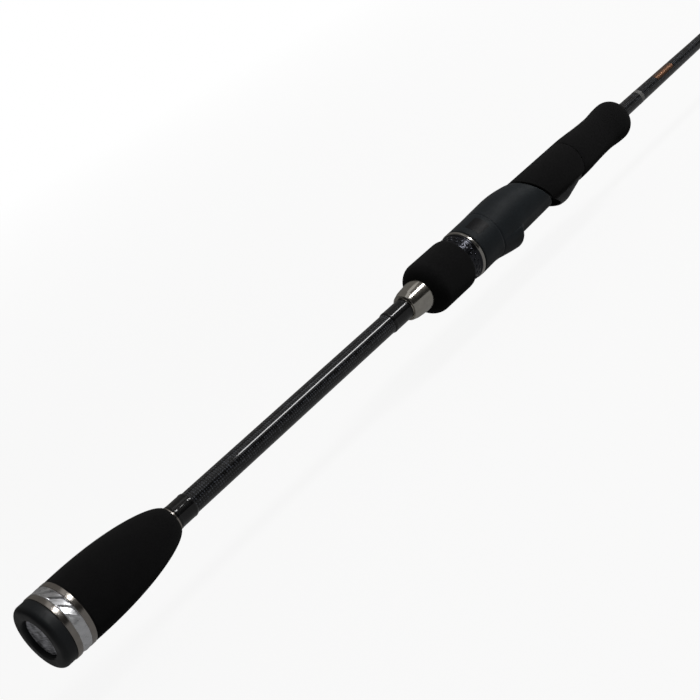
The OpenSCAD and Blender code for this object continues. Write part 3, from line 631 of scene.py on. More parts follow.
rings = [lambda degrees: (seat_x + 0.02, SEAT_BORE_R)]
rings += [seat_slice(inset, 0, 0, drawn_in)
          for inset, drawn_in in ((0.02, 0.9), (0.05, 0.45), (0.2, 0.15), (0.5, 0.0))]
rings += [seat_slice(0.5, i / SEAT_RINGS, 0.8, 0.0) for i in range(1, SEAT_RINGS)]
rings += [seat_slice(0, 1, inset, drawn_in)
          for inset, drawn_in in ((0.8, 0.0), (0.45, 0.1), (0.18, 0.35), (0.0, 0.8))]
rings.append(lambda degrees: (rim_x(math.sin(math.radians(degrees))), SEAT_BORE_R))
seat_body = polar("seat_moulding", rings, soft_touch)
pocket = pocket_outline(POCKET_FLOOR, POCKET_DEPTH, POCKET_R)
moulded(seat_body, [block((HOOD_MOUTH_X, -20, -20), (RIM_X + 2, 20, -FOOT_FLAT)),
                    prism(HOOD_MOUTH_X - POCKET_LENGTH, HOOD_MOUTH_X + 1, pocket)], SEAT_VOXEL)
fit(seat_body, "butt_section", "seat_plastic", "reel_seat")

# The plain name panel: a satin film let into the coat over the tail.
panel_film, tree, shader = new_finish("satin_panel_film", Roughness=0.5, Specular_IOR_Level=0.2)
place = node(tree, "ShaderNodeTexCoord").outputs["Object"]
cloud = node(tree, "ShaderNodeTexNoise", {"Vector": place, "Scale": 1 / (3 * MM), "Detail": 2.0}).outputs[0]
patterned(tree, shader, (cloud, PANEL_BLACK, PANEL_WORN))
panel = patch("seat_panel", PANEL_X, PANEL_ANGLES, seat_r, 0.05, panel_film, 0.18, (32, 32))
fit(panel, "butt_section", "seat_plastic")

# Threaded barrel
# The front of the seat's moulding: a straight core with a keyway along its top and a coarse
# thread for the foregrip's nut. It shows behind the hood when the foregrip is screwed forward.

BARREL_END_X = 400.2
THREAD_START_X = 342.2
THREAD_CREST_R = 8.2
THREAD_LEAD = 2.0
KEYWAY = (3.0, 1.0)
BARREL_BLACK = "#1b1c1f"
BARREL_FLOW = "#26272b"

# Glass-filled nylon straight from the mould: dark, slightly silky, with flow marks along it.
nylon, tree, shader = new_finish("glass_filled_nylon", Roughness=0.45, Specular_IOR_Level=0.45)
place = node(tree, "ShaderNodeTexCoord").outputs["Object"]
stretch = node(tree, "ShaderNodeMapping", {"Vector": place, "Scale": (0.2, 1.0, 1.0)})
flow = node(tree, "ShaderNodeTexNoise", {"Vector": stretch.outputs[0], "Scale": 1 / (1.2 * MM),
                                         "Detail": 4.0}).outputs[0]
patterned(tree, shader, (flow, BARREL_BLACK, BARREL_FLOW), (flow, 0.2, 0.05))


def growth_tree(name, sizes):
    """A Geometry Nodes tree with named inputs, from rows of (name, kind, usual value)."""
    made = bpy.data.node_groups.new(name, "GeometryNodeTree")
    for size_name, kind, usual in sizes:
        made.interface.new_socket(size_name, in_out="INPUT", socket_type=kind).default_value = usual
    made.interface.new_socket("Geometry", in_out="OUTPUT", socket_type="NodeSocketGeometry")
    return made, node(made, "NodeGroupInput").outputs


def growth_end(tree, geometry, finish):
    """Ends a tree with real geometry in its finish."""
    real = node(tree, "GeometryNodeRealizeInstances", {"Geometry": geometry})
    coated = node(tree, "GeometryNodeSetMaterial", {"Geometry": real.outputs[0], "Material": finish})
    node(tree, "NodeGroupOutput", {0: coated.outputs[0]})


thread_tree, given = growth_tree("helical_thread", (
    ("Root Radius", "NodeSocketFloat", 0.0076), ("Length", "NodeSocketFloat", 0.05),
    ("Turns", "NodeSocketFloat", 20.0), ("Crest", "NodeSocketFloat", 0.0006),
    ("Start", "NodeSocketFloat", 0.3)))
spiral = node(thread_tree, "GeometryNodeCurveSpiral", {
    "Resolution": 40, "Rotations": given["Turns"], "Start Radius": given["Root Radius"],
    "End Radius": given["Root Radius"], "Height": given["Length"]})
upright = node(thread_tree, "GeometryNodeSetCurveNormal", {"Curve": spiral.outputs[0]}, mode="Z_UP")
tall = node(thread_tree, "ShaderNodeMath", {0: given["Crest"], 1: 2.0}, operation="MULTIPLY")
section = node(thread_tree, "GeometryNodeCurvePrimitiveQuadrilateral", {
    "Height": tall.outputs[0], "Bottom Width": 1.7 * MM, "Top Width": 0.5 * MM, "Offset": 0.0},
    mode="TRAPEZOID")
lay = node(thread_tree, "GeometryNodeTransform", {"Geometry": section.outputs[0],
                                                 "Rotation": (0, 0, math.pi / 2)})
swept = node(thread_tree, "GeometryNodeCurveToMesh", {"Curve": upright.outputs[0],
                                                      "Profile Curve": lay.outputs[0], "Fill Caps": True})
shift = node(thread_tree, "ShaderNodeCombineXYZ", {"X": given["Start"]})
turned_over = node(thread_tree, "GeometryNodeTransform", {
    "Geometry": swept.outputs[0], "Rotation": (0, math.pi / 2, 0), "Translation": shift.outputs[0]})
growth_end(thread_tree, turned_over.outputs[0], nylon)


def grown(name, node_tree, finish, values):
    """An object made by a Geometry Nodes tree, with its inputs set by the sockets' identifiers."""
    mesh = bpy.data.meshes.new(name)
    mesh.materials.append(finish)
    piece = bpy.data.objects.new(name, mesh)
    scene.collection.objects.link(piece)
    growth = piece.modifiers.new("growth", "NODES")
    growth.node_group = node_tree
    for socket in node_tree.interface.items_tree:
        if socket.item_type == "SOCKET" and socket.name in values:
            growth[socket.identifier] = values[socket.name]
    return piece


def keyway_cutter():
    """The slot along the top of the barrel."""
    width, depth = KEYWAY
    return block((RIM_X - 12, -width / 2, THREAD_CREST_R - depth), (BARREL_END_X + 2, width / 2, 12))


thread_length = BARREL_END_X - 1.2 - THREAD_START_X
screw = grown("seat_thread", thread_tree, nylon, {
    "Root Radius": BARREL_CORE_R * MM, "Length": thread_length * MM, "Turns": thread_length / THREAD_LEAD,
    "Crest": (THREAD_CREST_R - BARREL_CORE_R) * MM, "Start": THREAD_START_X * MM})
settle(screw, 25)
moulded(screw, [keyway_cutter()], 0)
fit(screw, "butt_section", "seat_plastic")
core = turned("seat_barrel", [
    (RIM_X - 15, SEAT_BORE_R), (RIM_X - 15, BARREL_CORE_R), (BARREL_END_X - 0.5, BARREL_CORE_R),
    (BARREL_END_X, BARREL_CORE_R - 0.5), (BARREL_END_X, SEAT_BORE_R)], nylon)
moulded(core, [keyway_cutter()], 0)
fit(core, "butt_section", "seat_plastic")

# Moving hood
# A moulded nylon sleeve that slides on the barrel, keyed against turning. Its hood hangs out of
# the foam below, with a rounded lip and a pocket for the front of a reel's foot.

HOOD_BOTTOM = [(0, 13.6), (7, 14.0), (9, 14.35), (12, 14.4), (16, 13.4), (21, 12.3), (27, 10.65)]
SLEEVE_R = 10.4
SLEEVE_BORE_R = 8.45
HOOD_LIP = 7.5
HOOD_END_X = 361.5
HOOD_POCKET_DEPTH = 13.5
HOOD_POCKET_R = 7.6
HOOD_POCKET_LENGTH = 11
HOOD_VOXEL = 0.24
HOOD_RINGS = 70
HOOD_BLACK = "#191a1c"
HOOD_WORN = "#222326"
hood_x = span("moving_hood")[0]


def hood_r(x, sine):
    """Distance of the hood's skin from the rod's axis."""
    return SLEEVE_R + (smooth_lookup(x - hood_x, HOOD_BOTTOM) - SLEEVE_R) * underside(sine, 45, 0.4)


# Satin nylon: the same black as the barrel but with a smoother, slightly shiny moulded skin.
satin, tree, shader = new_finish("satin_moulded_nylon", Roughness=0.4, Specular_IOR_Level=0.45)
place = node(tree, "ShaderNodeTexCoord").outputs["Object"]
skin = node(tree, "ShaderNodeTexNoise", {"Vector": place, "Scale": 1 / (0.5 * MM), "Detail": 3.0}).outputs[0]
touch = node(tree, "ShaderNodeTexNoise", {"Vector": place, "Scale": 1 / (9 * MM), "Detail": 2.0}).outputs[0]
patterned(tree, shader, (touch, HOOD_BLACK, HOOD_WORN), (skin, 0.15, 0.05), (touch, 0.5, 0.36))


def hood_ring(share, drawn_in, radius=None):
    """A ring of the hood's skin at a share of its length, drawn in, or of a plain radius."""
    def ring(degrees):
        sine = math.sin(math.radians(degrees))
        start = hood_x + HOOD_LIP * underside(sine, 45, 1)
        x = start + share * (HOOD_END_X - start)
        return x, radius or hood_r(x, sine) - drawn_in
    return ring


rings = [hood_ring(0, 0, SLEEVE_BORE_R), hood_ring(0, 0.5), hood_ring(0.006, 0.2), hood_ring(0.02, 0.0)]
rings += [hood_ring(0.02 + 0.975 * i / HOOD_RINGS, 0.0) for i in range(1, HOOD_RINGS + 1)]
rings += [hood_ring(1.0, 0.3), hood_ring(1.0, 0, SLEEVE_BORE_R)]
hood = polar("hood_moulding", rings, satin)
pocket = pocket_outline(POCKET_FLOOR, HOOD_POCKET_DEPTH, HOOD_POCKET_R)
moulded(hood, [prism(hood_x - 1, hood_x + HOOD_POCKET_LENGTH, pocket)], HOOD_VOXEL)
fit(hood, "moving_hood", "hood_plastic", "moving_hood")

# Foam: hood cover, foregrip, collar and rear grip
# EVA foam, glued up, then turned and sanded on the blank: matte black with a fine closed-cell
# grain. Cut edges are eased with sandpaper.

EVA_BLACK = "#0d0d0e"
EVA_DUST = "#151516"
FOAM_CELL = 0.35

# Sanded EVA foam: flat black. Its cells are about 0.1 mm, too fine to show, so they are drawn at
# 0.35 mm, over a slow mottling left by the sanding. Each cell's pit is painted darker, as painted shade.
eva, tree, shader = new_finish("sanded_eva_foam", Roughness=0.95, Specular_IOR_Level=0.12,
                               Sheen_Weight=0.03, Sheen_Roughness=0.6)
place = node(tree, "ShaderNodeTexCoord").outputs["Object"]
cells = node(tree, "ShaderNodeTexVoronoi", {"Vector": place, "Scale": 1 / (FOAM_CELL * MM)}).outputs[0]
sanding = node(tree, "ShaderNodeTexNoise", {"Vector": place, "Scale": 1 / (5 * MM),
                                            "Detail": 5.0}).outputs[0]
tone = node(tree, "ShaderNodeMix", {"Factor": sanding, 6: linear(EVA_BLACK), 7: linear(EVA_DUST)},
            data_type="RGBA")
# Painted shade: the colour is darkened to 0.65 in the middle of each cell, where the bump sinks it.
pore_painted_shade = node(tree, "ShaderNodeMapRange", {0: cells, 1: 0.0, 2: 0.35, 3: 0.65, 4: 1.0}).outputs[0]
tone_with_painted_pore_shade = node(tree, "ShaderNodeMix", {"Factor": 1.0, 6: tone.outputs[2], 7: pore_painted_shade}, data_type="RGBA",
                blend_type="MULTIPLY")
tree.links.new(tone_with_painted_pore_shade.outputs[2], shader.inputs["Base Color"])
pores = node(tree, "ShaderNodeBump", {"Height": cells, "Strength": 0.35, "Distance": 0.08 * MM})
tree.links.new(pores.outputs[0], shader.inputs["Normal"])


def bezier(p0, p1, p2, p3, steps=48):
    """Points along a cubic curve, in a plane or in space."""
    points = []
    for i in range(steps + 1):
        t = i / steps
        weights = ((1 - t) ** 3, 3 * t * (1 - t) ** 2, 3 * t * t * (1 - t), t ** 3)
        points.append(tuple(sum(w * value for w, value in zip(weights, axis))
                            for axis in zip(p0, p1, p2, p3)))
    return points


def rounded(corners, steps=7):
    """A closed outline with its corners, given as (x, r, radius), rounded."""
    outline = []
    for i, (x, r, radius) in enumerate(corners):
        here = Vector((x, r))
        if radius <= 0:
            outline.append((x, r))
            continue
        back = (Vector(corners[i - 1][:2]) - here).normalized()
        ahead = (Vector(corners[(i + 1) % len(corners)][:2]) - here).normalized()
        half_turn = back.angle(ahead) / 2
        centre = here + (back + ahead).normalized() * radius / math.sin(half_turn)
        first = here + back * radius / math.tan(half_turn) - centre
        last = here + ahead * radius / math.tan(half_turn) - centre
        sweep = first.angle_signed(last)
        for k in range(steps + 1):
            outline.append(tuple(centre + Matrix.Rotation(-sweep * k / steps, 2) @ first))
    return outline


# The cover is a C-shaped shell, slanted at its rear like the seat's rim and open below round the
# hood. Each loop of its points goes round one slice of the shell, and both its ends are eased.
COVER_R = 11.2
COVER_BORE_R = SLEEVE_R + 0.05
COVER_GAP = 0.75
COVER_STEPS = 160
COVER_EASE = 0.25
EASED_STEPS = 3
NOTCH_HALF = 8.35
points = []
for j in range(COVER_STEPS + 1):
    share = j / COVER_STEPS
    to_end = max(0, 1 - min(j, COVER_STEPS - j) / EASED_STEPS)
    trim = COVER_EASE * (1 - math.sqrt(1 - to_end ** 2))
    slice_outline = rounded([(0, COVER_BORE_R + trim, 0.0), (0, COVER_R - trim, 0.28),
                             (1, COVER_R - trim, 0.06), (1, COVER_BORE_R + trim, 0.0)], 4)
    for t, r in slice_outline:
        low = -math.asin(math.sqrt(1 - (NOTCH_HALF / r) ** 2))
        angle = low + (math.pi - 2 * low) * share
        start = rim_x(math.sin(angle)) + COVER_GAP + trim
        x = start + t if t < 0.5 else HOOD_END_X - trim - (1 - t)
        points.append((x, r * math.cos(angle), r * math.sin(angle)))
cover = mesh_piece("hood_cover_foam", points, wall(COVER_STEPS + 1, len(slice_outline), capped=True), eva)
fit(cover, "moving_hood", "eva_foam", "hood_cover")

fore_x, fore_end = span("foregrip")
waist_x = fore_x + 0.6 * (fore_end - fore_x)
foregrip_outline = rounded([(fore_x, 9.4, 0), (fore_x, 11.2, 0.1), (fore_x + 3, 11.2, 0)], 5)
foregrip_outline += bezier((fore_x + 3.2, 11.2), (fore_x + 12, 11.2), (waist_x - 12, 10.15), (waist_x, 10.15))
foregrip_outline += bezier((waist_x, 10.15), (waist_x + 5, 10.15), (fore_end - 13, 10.95),
                           (fore_end - 6.5, 10.95))[1:]
foregrip_outline += bezier((fore_end - 6.5, 10.95), (fore_end - 3.2, 10.9), (fore_end - 1.1, 9.2),
                           (fore_end - 0.3, 6.0), 24)[1:]
foregrip_outline += rounded([(fore_end, 5.4, 0), (fore_end, 4.5, 0.4), (403.2, 4.5, 0), (403.2, 8.55, 0),
                             (382.9, 8.55, 0), (382.9, 9.4, 0)], 5)
foregrip = turned("foregrip_foam", foregrip_outline, eva)
fit(foregrip, "foregrip", "eva_foam", "foregrip")

collar_x, collar_end = span("grip_collar")
collar_outline = [(collar_x, 4.8), (collar_x, 6.4)]
collar_outline += [(collar_x + 6.5 - 6.5 * math.cos(a), 6.5 + 6.5 * math.sin(a))
                   for a in (math.radians(90 * i / 24) for i in range(25))]
collar_outline += rounded([(collar_end - 2, 12.95, 0), (collar_end, 12.75, 0.9), (collar_end, 4.8, 0)], 6)
collar = turned("collar_foam", collar_outline, eva)
fit(collar, "butt_section", "eva_foam", "grip_collar")

grip_rear, grip_nose = span("rear_grip")
grip_x = span("butt_ring_front")[1]
grip_length = grip_nose - grip_x
barrel_outline = bezier((grip_x + 0.3, 14.12), (grip_x + 0.556 * grip_length, 15.12),
                        (grip_x + 0.93 * grip_length, 10.2), (grip_nose, 6.5), 96)
grip_outline = [(grip_rear, 5.05), (grip_rear, 11.0), (grip_x, 11.0), (grip_x, 13.85),
                (grip_x + 0.08, 14.02)]
grip_outline += barrel_outline[:-1] + [(grip_nose - 0.05, 6.62), (grip_nose, 6.4), (grip_nose, 5.0)]
rear_grip = turned("rear_grip_foam", grip_outline, eva)
fit(rear_grip, "butt_section", "eva_foam", "rear_grip")

# Lock nut
# A nylon nut bonded inside the foregrip. It is hidden by the foam, so the CAD nut stays, in the
# same glass-filled nylon as the barrel.

refinish("lock_nut", nylon)

# Seat ring, patterned ring and winding check
# Turned metal trim behind the seat: a bright bead, a gunmetal ring with two rows of small
# studs, and a tapered nickel check that ends the front thread wrap.

RING_SILVER = "#b9b6b1"
GUNMETAL = "#3c3d42"
NICKEL = "#c8c4bc"
STUDS = 22
STUD_ROW_GAP = 1.9
TRIM_BORE_R = 10.95
BEAD_R = 12.4
PATTERN_RIM_R = 12.1
PATTERN_FLOOR_R = 11.75


def turned_metal(name, colour, roughness, streak, **sockets):
    """Lathe-turned metal: fine rings of tool marks round the piece and a slightly uneven polish."""
    made, tree, shader = new_finish(name, Metallic=1.0, Roughness=roughness, **sockets)
    place = node(tree, "ShaderNodeTexCoord").outputs["Object"]
    cloud = node(tree, "ShaderNodeTexNoise", {"Vector": place, "Scale": 1 / (2 * MM), "Detail": 4.0})
    rough = node(tree, "ShaderNodeMapRange", {0: cloud.outputs[0], 1: 0.3, 2: 0.7, 3: roughness * 0.75,
                                              4: roughness * 1.3})
    tree.links.new(rough.outputs[0], shader.inputs["Roughness"])
    shade = node(tree, "ShaderNodeHueSaturation", {"Color": linear(colour)})
    value = node(tree, "ShaderNodeMapRange", {0: cloud.outputs[0], 1: 0.25, 2: 0.75, 3: 0.88, 4: 1.06})
    tree.links.new(value.outputs[0], shade.inputs["Value"])
    tree.links.new(shade.outputs[0], shader.inputs["Base Color"])
    flat = node(tree, "ShaderNodeMapping", {"Vector": place, "Scale": (1.0, 0.02, 0.02)})
    marks = node(tree, "ShaderNodeTexNoise", {"Vector": flat.outputs[0], "Scale": 1 / (0.12 * MM),
                                              "Detail": 2.0})
    bump = node(tree, "ShaderNodeBump", {"Height": marks.outputs[0], "Strength": streak,
                                         "Distance": 0.02 * MM})
    tree.links.new(bump.outputs[0], shader.inputs["Normal"])
    return made


silver = turned_metal("polished_aluminium", RING_SILVER, 0.16, 0.15)
gunmetal = turned_metal("gunmetal_anodised_aluminium", GUNMETAL, 0.24, 0.2)
nickel = turned_metal("polished_nickel_plate", NICKEL, 0.14, 0.12)

x0, x1 = span("seat_ring")
bead = turned("bead_ring", rounded([(x0, TRIM_BORE_R, 0), (x0, BEAD_R, 0.7), (x1, BEAD_R, 0.7),
                                    (x1, TRIM_BORE_R, 0)]), silver)
fit(bead, "butt_section", "bright_ring", "seat_ring")

x0, x1 = span("trim_ring")
pattern_ring = turned("patterned_ring", rounded([
    (x0, TRIM_BORE_R, 0), (x0, PATTERN_RIM_R, 0.3), (x0 + 1, PATTERN_RIM_R, 0.3),
    (x0 + 1, PATTERN_FLOOR_R, 0.15), (x1 - 1, PATTERN_FLOOR_R, 0.15), (x1 - 1, PATTERN_RIM_R, 0.3),
    (x1, PATTERN_RIM_R, 0.3), (x1, TRIM_BORE_R, 0)], 5), gunmetal)
fit(pattern_ring, "butt_section", "dark_ring", "trim_ring")

stud_tree, given = growth_tree("stud_rows", (
    ("Count", "NodeSocketInt", 22), ("Radius", "NodeSocketFloat", 0.0117),
    ("Rear X", "NodeSocketFloat", 0.26), ("Row Gap", "NodeSocketFloat", 0.0016)))
circle = node(stud_tree, "GeometryNodeMeshCircle", {"Vertices": given["Count"], "Radius": given["Radius"]})
half_step = node(stud_tree, "ShaderNodeMath", {0: math.pi, 1: given["Count"]}, operation="DIVIDE")
rows = []
for row in range(2):
    spin = node(stud_tree, "ShaderNodeMath", {0: half_step.outputs[0], 1: float(row)}, operation="MULTIPLY")
    twist = node(stud_tree, "ShaderNodeCombineXYZ", {"Z": spin.outputs[0]})
    offset = node(stud_tree, "ShaderNodeMath", {0: given["Row Gap"], 1: float(row), 2: given["Rear X"]},
                  operation="MULTIPLY_ADD")
    spun = node(stud_tree, "GeometryNodeTransform", {"Geometry": circle.outputs[0],
                                                     "Rotation": twist.outputs[0]})
    move = node(stud_tree, "ShaderNodeCombineXYZ", {"X": offset.outputs[0]})
    rows.append(node(stud_tree, "GeometryNodeTransform", {
        "Geometry": spun.outputs[0], "Rotation": (0, math.pi / 2, 0),
        "Translation": move.outputs[0]}).outputs[0])
joined = node(stud_tree, "GeometryNodeJoinGeometry")
for row in rows:
    stud_tree.links.new(row, joined.inputs[0])
position = node(stud_tree, "GeometryNodeInputPosition").outputs[0]
radial = node(stud_tree, "ShaderNodeVectorMath", {0: position, 1: (0, 1, 1)}, operation="MULTIPLY")
outward = node(stud_tree, "FunctionNodeAlignRotationToVector", {"Vector": radial.outputs[0]}, axis="Z")
lined = node(stud_tree, "FunctionNodeAlignRotationToVector", {"Rotation": outward.outputs[0],
                                                              "Vector": (1, 0, 0)}, axis="X", pivot_axis="Z")
stud = node(stud_tree, "GeometryNodeMeshIcoSphere", {"Radius": 1 * MM, "Subdivisions": 2})
lozenge = node(stud_tree, "GeometryNodeTransform", {"Geometry": stud.outputs[0], "Scale": (0.95, 1.25, 0.34)})
placed = node(stud_tree, "GeometryNodeInstanceOnPoints", {
    "Points": joined.outputs[0], "Instance": lozenge.outputs[0], "Rotation": lined.outputs[0]})
growth_end(stud_tree, placed.outputs[0], gunmetal)
studs = grown("ring_studs", stud_tree, gunmetal, {
    "Count": STUDS, "Radius": PATTERN_FLOOR_R * MM, "Rear X": (x0 + 2.5) * MM,
    "Row Gap": STUD_ROW_GAP * MM})
settle(studs)
fit(studs, "butt_section", "dark_ring")

x0, x1 = span("seat_check")
check_outline = rounded([(x0, 4.85, 0), (x0 + 0.9, 5.3, 0.2), (x0, 5.75, 0.3), (x0, 6.4, 0.6),
                         (x0 + 3.1, 7.25, 1.5), (x0 + 7.3, 7.68, 2.0), (x1, 8.1, 0.15), (x1, 4.8, 0)], 6)
winding_check = turned("winding_check_nickel", check_outline, nickel)
fit(winding_check, "butt_section", "polished_check", "seat_check")

# Butt end: narrow rings, diamond-cut ring and grip check
# Three aluminium rings glued on the foam's spigot. The broad one is cut with slanting flats by
# a diamond tool, so that each flat flashes. A thin check ends the rear wrap.

RING_R = 14.25
RING_BORE_R = 11.05
NARROW_WIDTH = 2.5
SATIN_WARM = "#aaa49e"
CUT_BRIGHT = "#f0f1f4"
FLATS = 18
FLAT_SLANT = math.radians(49)
CUT_DEPTH = 0.5
CUT_BACK = 0.74
CUT_LAND = 0.76
CUT_STEPS = (0.0, 0.25, 0.5, CUT_BACK, CUT_LAND, 0.88, 0.99)
CUT_ROWS = 24
CUT_FADE = 0.7
RING_EASE = 0.2

satin_metal = turned_metal("satin_anodised_aluminium", SATIN_WARM, 0.2, 0.3)
bright_metal = turned_metal("diamond_cut_aluminium", CUT_BRIGHT, 0.34, 0.05)
rings_x0, rings_x1 = span("butt_ring_rear")[0], span("butt_ring_front")[1]
for node_name, name, x0 in (("butt_ring_rear", "narrow_ring_rear", rings_x0),
                            ("butt_ring_front", "narrow_ring_front", rings_x1 - NARROW_WIDTH)):
    x1 = x0 + NARROW_WIDTH
    ring_outline = rounded([(x0, RING_BORE_R, 0), (x0, RING_R, 0.3), (x1, RING_R, 0.3), (x1, RING_BORE_R, 0)])
    ring = turned(name, ring_outline, satin_metal, 192)
    fit(ring, "butt_section", "satin_ring", node_name)

x0, x1 = rings_x0 + NARROW_WIDTH, rings_x1 - NARROW_WIDTH
points = []
for i in range(-1, CUT_ROWS + 2):
    x = x0 + (x1 - x0) * max(0, min(CUT_ROWS, i)) / CUT_ROWS
    to_edge = min(x - x0, x1 - x)
    twist = (x - x0) * math.tan(FLAT_SLANT) / RING_R
    for j in range(FLATS * len(CUT_STEPS)):
        phase = CUT_STEPS[j % len(CUT_STEPS)]
        angle = 2 * math.pi * (j // len(CUT_STEPS) + phase) / FLATS + twist
        rise = min(phase / CUT_BACK, (1 - phase) / (1 - CUT_LAND), 1.0)
        cut = CUT_DEPTH * (1 - rise) * min(1.0, to_edge / CUT_FADE)
        r = RING_R - cut - max(0.0, RING_EASE - to_edge) if 0 <= i <= CUT_ROWS else RING_BORE_R
        points.append((x, r * math.cos(angle), r * math.sin(angle)))
faces = wall(CUT_ROWS + 3, FLATS * len(CUT_STEPS))
broad_ring = mesh_piece("broad_ring_cut", points, faces, bright_metal, sharp=9)
fit(broad_ring, "butt_section", "bright_ring", "butt_ring_broad")

x0, x1 = span("grip_check")
grip_check = turned("grip_check_ring", rounded([(x0, 5.0, 0), (x0, 5.8, 0.4), (x1, 5.8, 0.4), (x1, 5.0, 0)]),
                    satin_metal)
fit(grip_check, "butt_section", "satin_ring", "grip_check")

# Butt cap and badge
# A moulded rubber cap with a well-rounded rim, and a plain brushed aluminium disc pressed into
# its recess.

CAP_BLACK = "#15171a"
CAP_BLOOM = "#1b1f23"
BADGE_GREY = "#d6d7dd"
CAP_R = 14.0
BADGE_R = 8.5

# Moulded rubber: charcoal with a soft, slightly waxy shine and a bloom that dulls it in patches.
rubber, tree, shader = new_finish("moulded_rubber", Roughness=0.5, Specular_IOR_Level=0.4)
place = node(tree, "ShaderNodeTexCoord").outputs["Object"]
bloom = node(tree, "ShaderNodeTexNoise", {"Vector": place, "Scale": 1 / (6 * MM), "Detail": 5.0}).outputs[0]
grit = node(tree, "ShaderNodeTexNoise", {"Vector": place, "Scale": 1 / (0.3 * MM), "Detail": 2.0}).outputs[0]
patterned(tree, shader, (bloom, CAP_BLACK, CAP_BLOOM), (grit, 0.2, 0.05), (bloom, 0.42, 0.6))

x0, x1 = span("butt_cap")
badge_x = span("butt_badge")[1]
cap = turned("cap_rubber_moulding", rounded([
    (badge_x, 0, 0), (badge_x, BADGE_R, 0.2), (x0, BADGE_R + 0.05, 0.9), (x0, CAP_R, 2.3), (x1, CAP_R, 0.25),
    (x1, 5.05, 0), (badge_x + 0.8, 5.05, 0), (badge_x + 0.8, 0, 0)], 10), rubber)
fit(cap, "butt_section", "cap_rubber", "butt_cap")

# Brushed disc: scratches all one way across it, with dull patches where it has been handled.
badge, tree, shader = new_finish("brushed_aluminium_disc", Metallic=1.0, Roughness=0.48)
place = node(tree, "ShaderNodeTexCoord").outputs["Object"]
stretch = node(tree, "ShaderNodeMapping", {"Vector": place, "Scale": (1.0, 0.05, 1.0)})
brush = node(tree, "ShaderNodeTexNoise", {"Vector": stretch.outputs[0], "Scale": 1 / (0.25 * MM),
                                          "Detail": 3.0})
dull = node(tree, "ShaderNodeTexNoise", {"Vector": place, "Scale": 1 / (3.5 * MM), "Detail": 4.0})
mottle = node(tree, "ShaderNodeMath", {0: brush.outputs[0], 1: dull.outputs[0]}, operation="MULTIPLY")
tone = node(tree, "ShaderNodeMapRange", {0: mottle.outputs[0], 1: 0.15, 2: 0.38, 3: 0.25, 4: 1.2})
shade = node(tree, "ShaderNodeHueSaturation", {"Color": linear(BADGE_GREY), "Value": tone.outputs[0]})
tree.links.new(shade.outputs[0], shader.inputs["Base Color"])
scratch = node(tree, "ShaderNodeBump", {"Height": brush.outputs[0], "Strength": 0.3, "Distance": 0.03 * MM})
tree.links.new(scratch.outputs[0], shader.inputs["Normal"])
low, high = span("butt_badge")
disc = turned("badge_disc", [
    (high, 0), (high, 8.4), (low + 0.25, 8.4), (low + 0.06, 8.32), (low, 8.15), (low, 7.75),
    (low + 0.12, 7.55), (low + 0.2, 7.3), (low + 0.22, 4), (low + 0.2, 0)], badge)
fit(disc, "butt_section", "badge", "butt_badge")

# Line guides
# Each frame is bent and welded from stainless sheet and dark plated. A black ceramic ring is
# pressed into it, and its feet are ground to a taper and whipped to the blank.

GUIDE_SIZES = (25, 16, 12, 8, 7, 6, 6)
TWO_FEET = 12
GUIDE_METAL = 0.8
STEEL_GREY = "#5b5d62"
CERAMIC_BLACK = "#101013"
CERAMIC_GRAIN = "#1d1d22"

steel = turned_metal("dark_plated_steel", STEEL_GREY, 0.2, 0.1)

# Polished ceramic: black glassy grains with a mirror finish inside the ring.
ceramic, tree, shader = new_finish("polished_black_ceramic", Roughness=0.12, IOR=1.9)
place = node(tree, "ShaderNodeTexCoord").outputs["Object"]
grains = node(tree, "ShaderNodeTexVoronoi", {"Vector": place, "Scale": 1 / (0.25 * MM)})
patterned(tree, shader, (grains.outputs[0], CERAMIC_BLACK, CERAMIC_GRAIN))
rough = node(tree, "ShaderNodeMapRange", {0: grains.outputs[0], 1: 0.0, 2: 1.0, 3: 0.08, 4: 0.2})
tree.links.new(rough.outputs[0], shader.inputs["Roughness"])


def ribbon(path, widths, thickness, across):
    """Points and faces of a flat bar with eased edges along a path, as wide as widths say."""
    path = [Vector(place) for place in path]
    points = []
    for i, here in enumerate(path):
        ahead = (path[min(i + 1, len(path) - 1)] - path[max(i - 1, 0)]).normalized()
        side = (Vector(across) - ahead * Vector(across).dot(ahead)).normalized()
        up = ahead.cross(side)
        w, t = widths[i] / 2, thickness[i] / 2
        for y, z in ((w, t * 0.4), (w * 0.85, t), (-w * 0.85, t), (-w, t * 0.4),
                     (-w, -t * 0.4), (-w * 0.85, -t), (w * 0.85, -t), (w, -t * 0.4)):
            points.append(here + side * y + up * z)
    return points, wall(len(path), 8, capped=True)


def round_bore(outline, drop, steps):
    """Points and faces of a closed outline of (x, r) turned round a bore that lies drop below the rod."""
    points = [(x, r * math.cos(2 * math.pi * j / steps), -drop + r * math.sin(2 * math.pi * j / steps))
              for j in range(steps) for x, r in outline]
    return points, wall(steps, len(outline))


def hoop(x, drop, outer_r, inner_r, width):
    """Points and faces of the band that a ring is pressed into, with eased edges."""
    rear, front = x - width / 2, x + width / 2
    return round_bore(rounded([(rear, inner_r, 0.12), (rear, outer_r, 0.25), (front, outer_r, 0.25),
                               (front, inner_r, 0.12)], 4), drop, 72)


def ceramic_ring(name, x, drop, size, outer_r, half_w, land, arc_steps, steps):
    """A polished ring: half round inside, and flat over its land, where the band holds it."""
    bore_r = (0.82 * size - 1.3) / 2
    depth = min(outer_r - bore_r, half_w)
    outline = [(x + half_w * math.cos(a), bore_r + depth * (1 - math.sin(a)))
               for a in (math.radians(180 * i / arc_steps) for i in range(arc_steps + 1))]
    outline += [(x - half_w * land, outer_r), (x + half_w * land, outer_r)]
    return mesh_piece(name, *round_bore(outline, drop, steps), ceramic)


def merged(parts):
    """Several (points, faces) as one."""
    points, faces = [], []
    for part_points, part_faces in parts:
        faces += [tuple(len(points) + i for i in face) for face in part_faces]
        points += part_points
    return points, faces


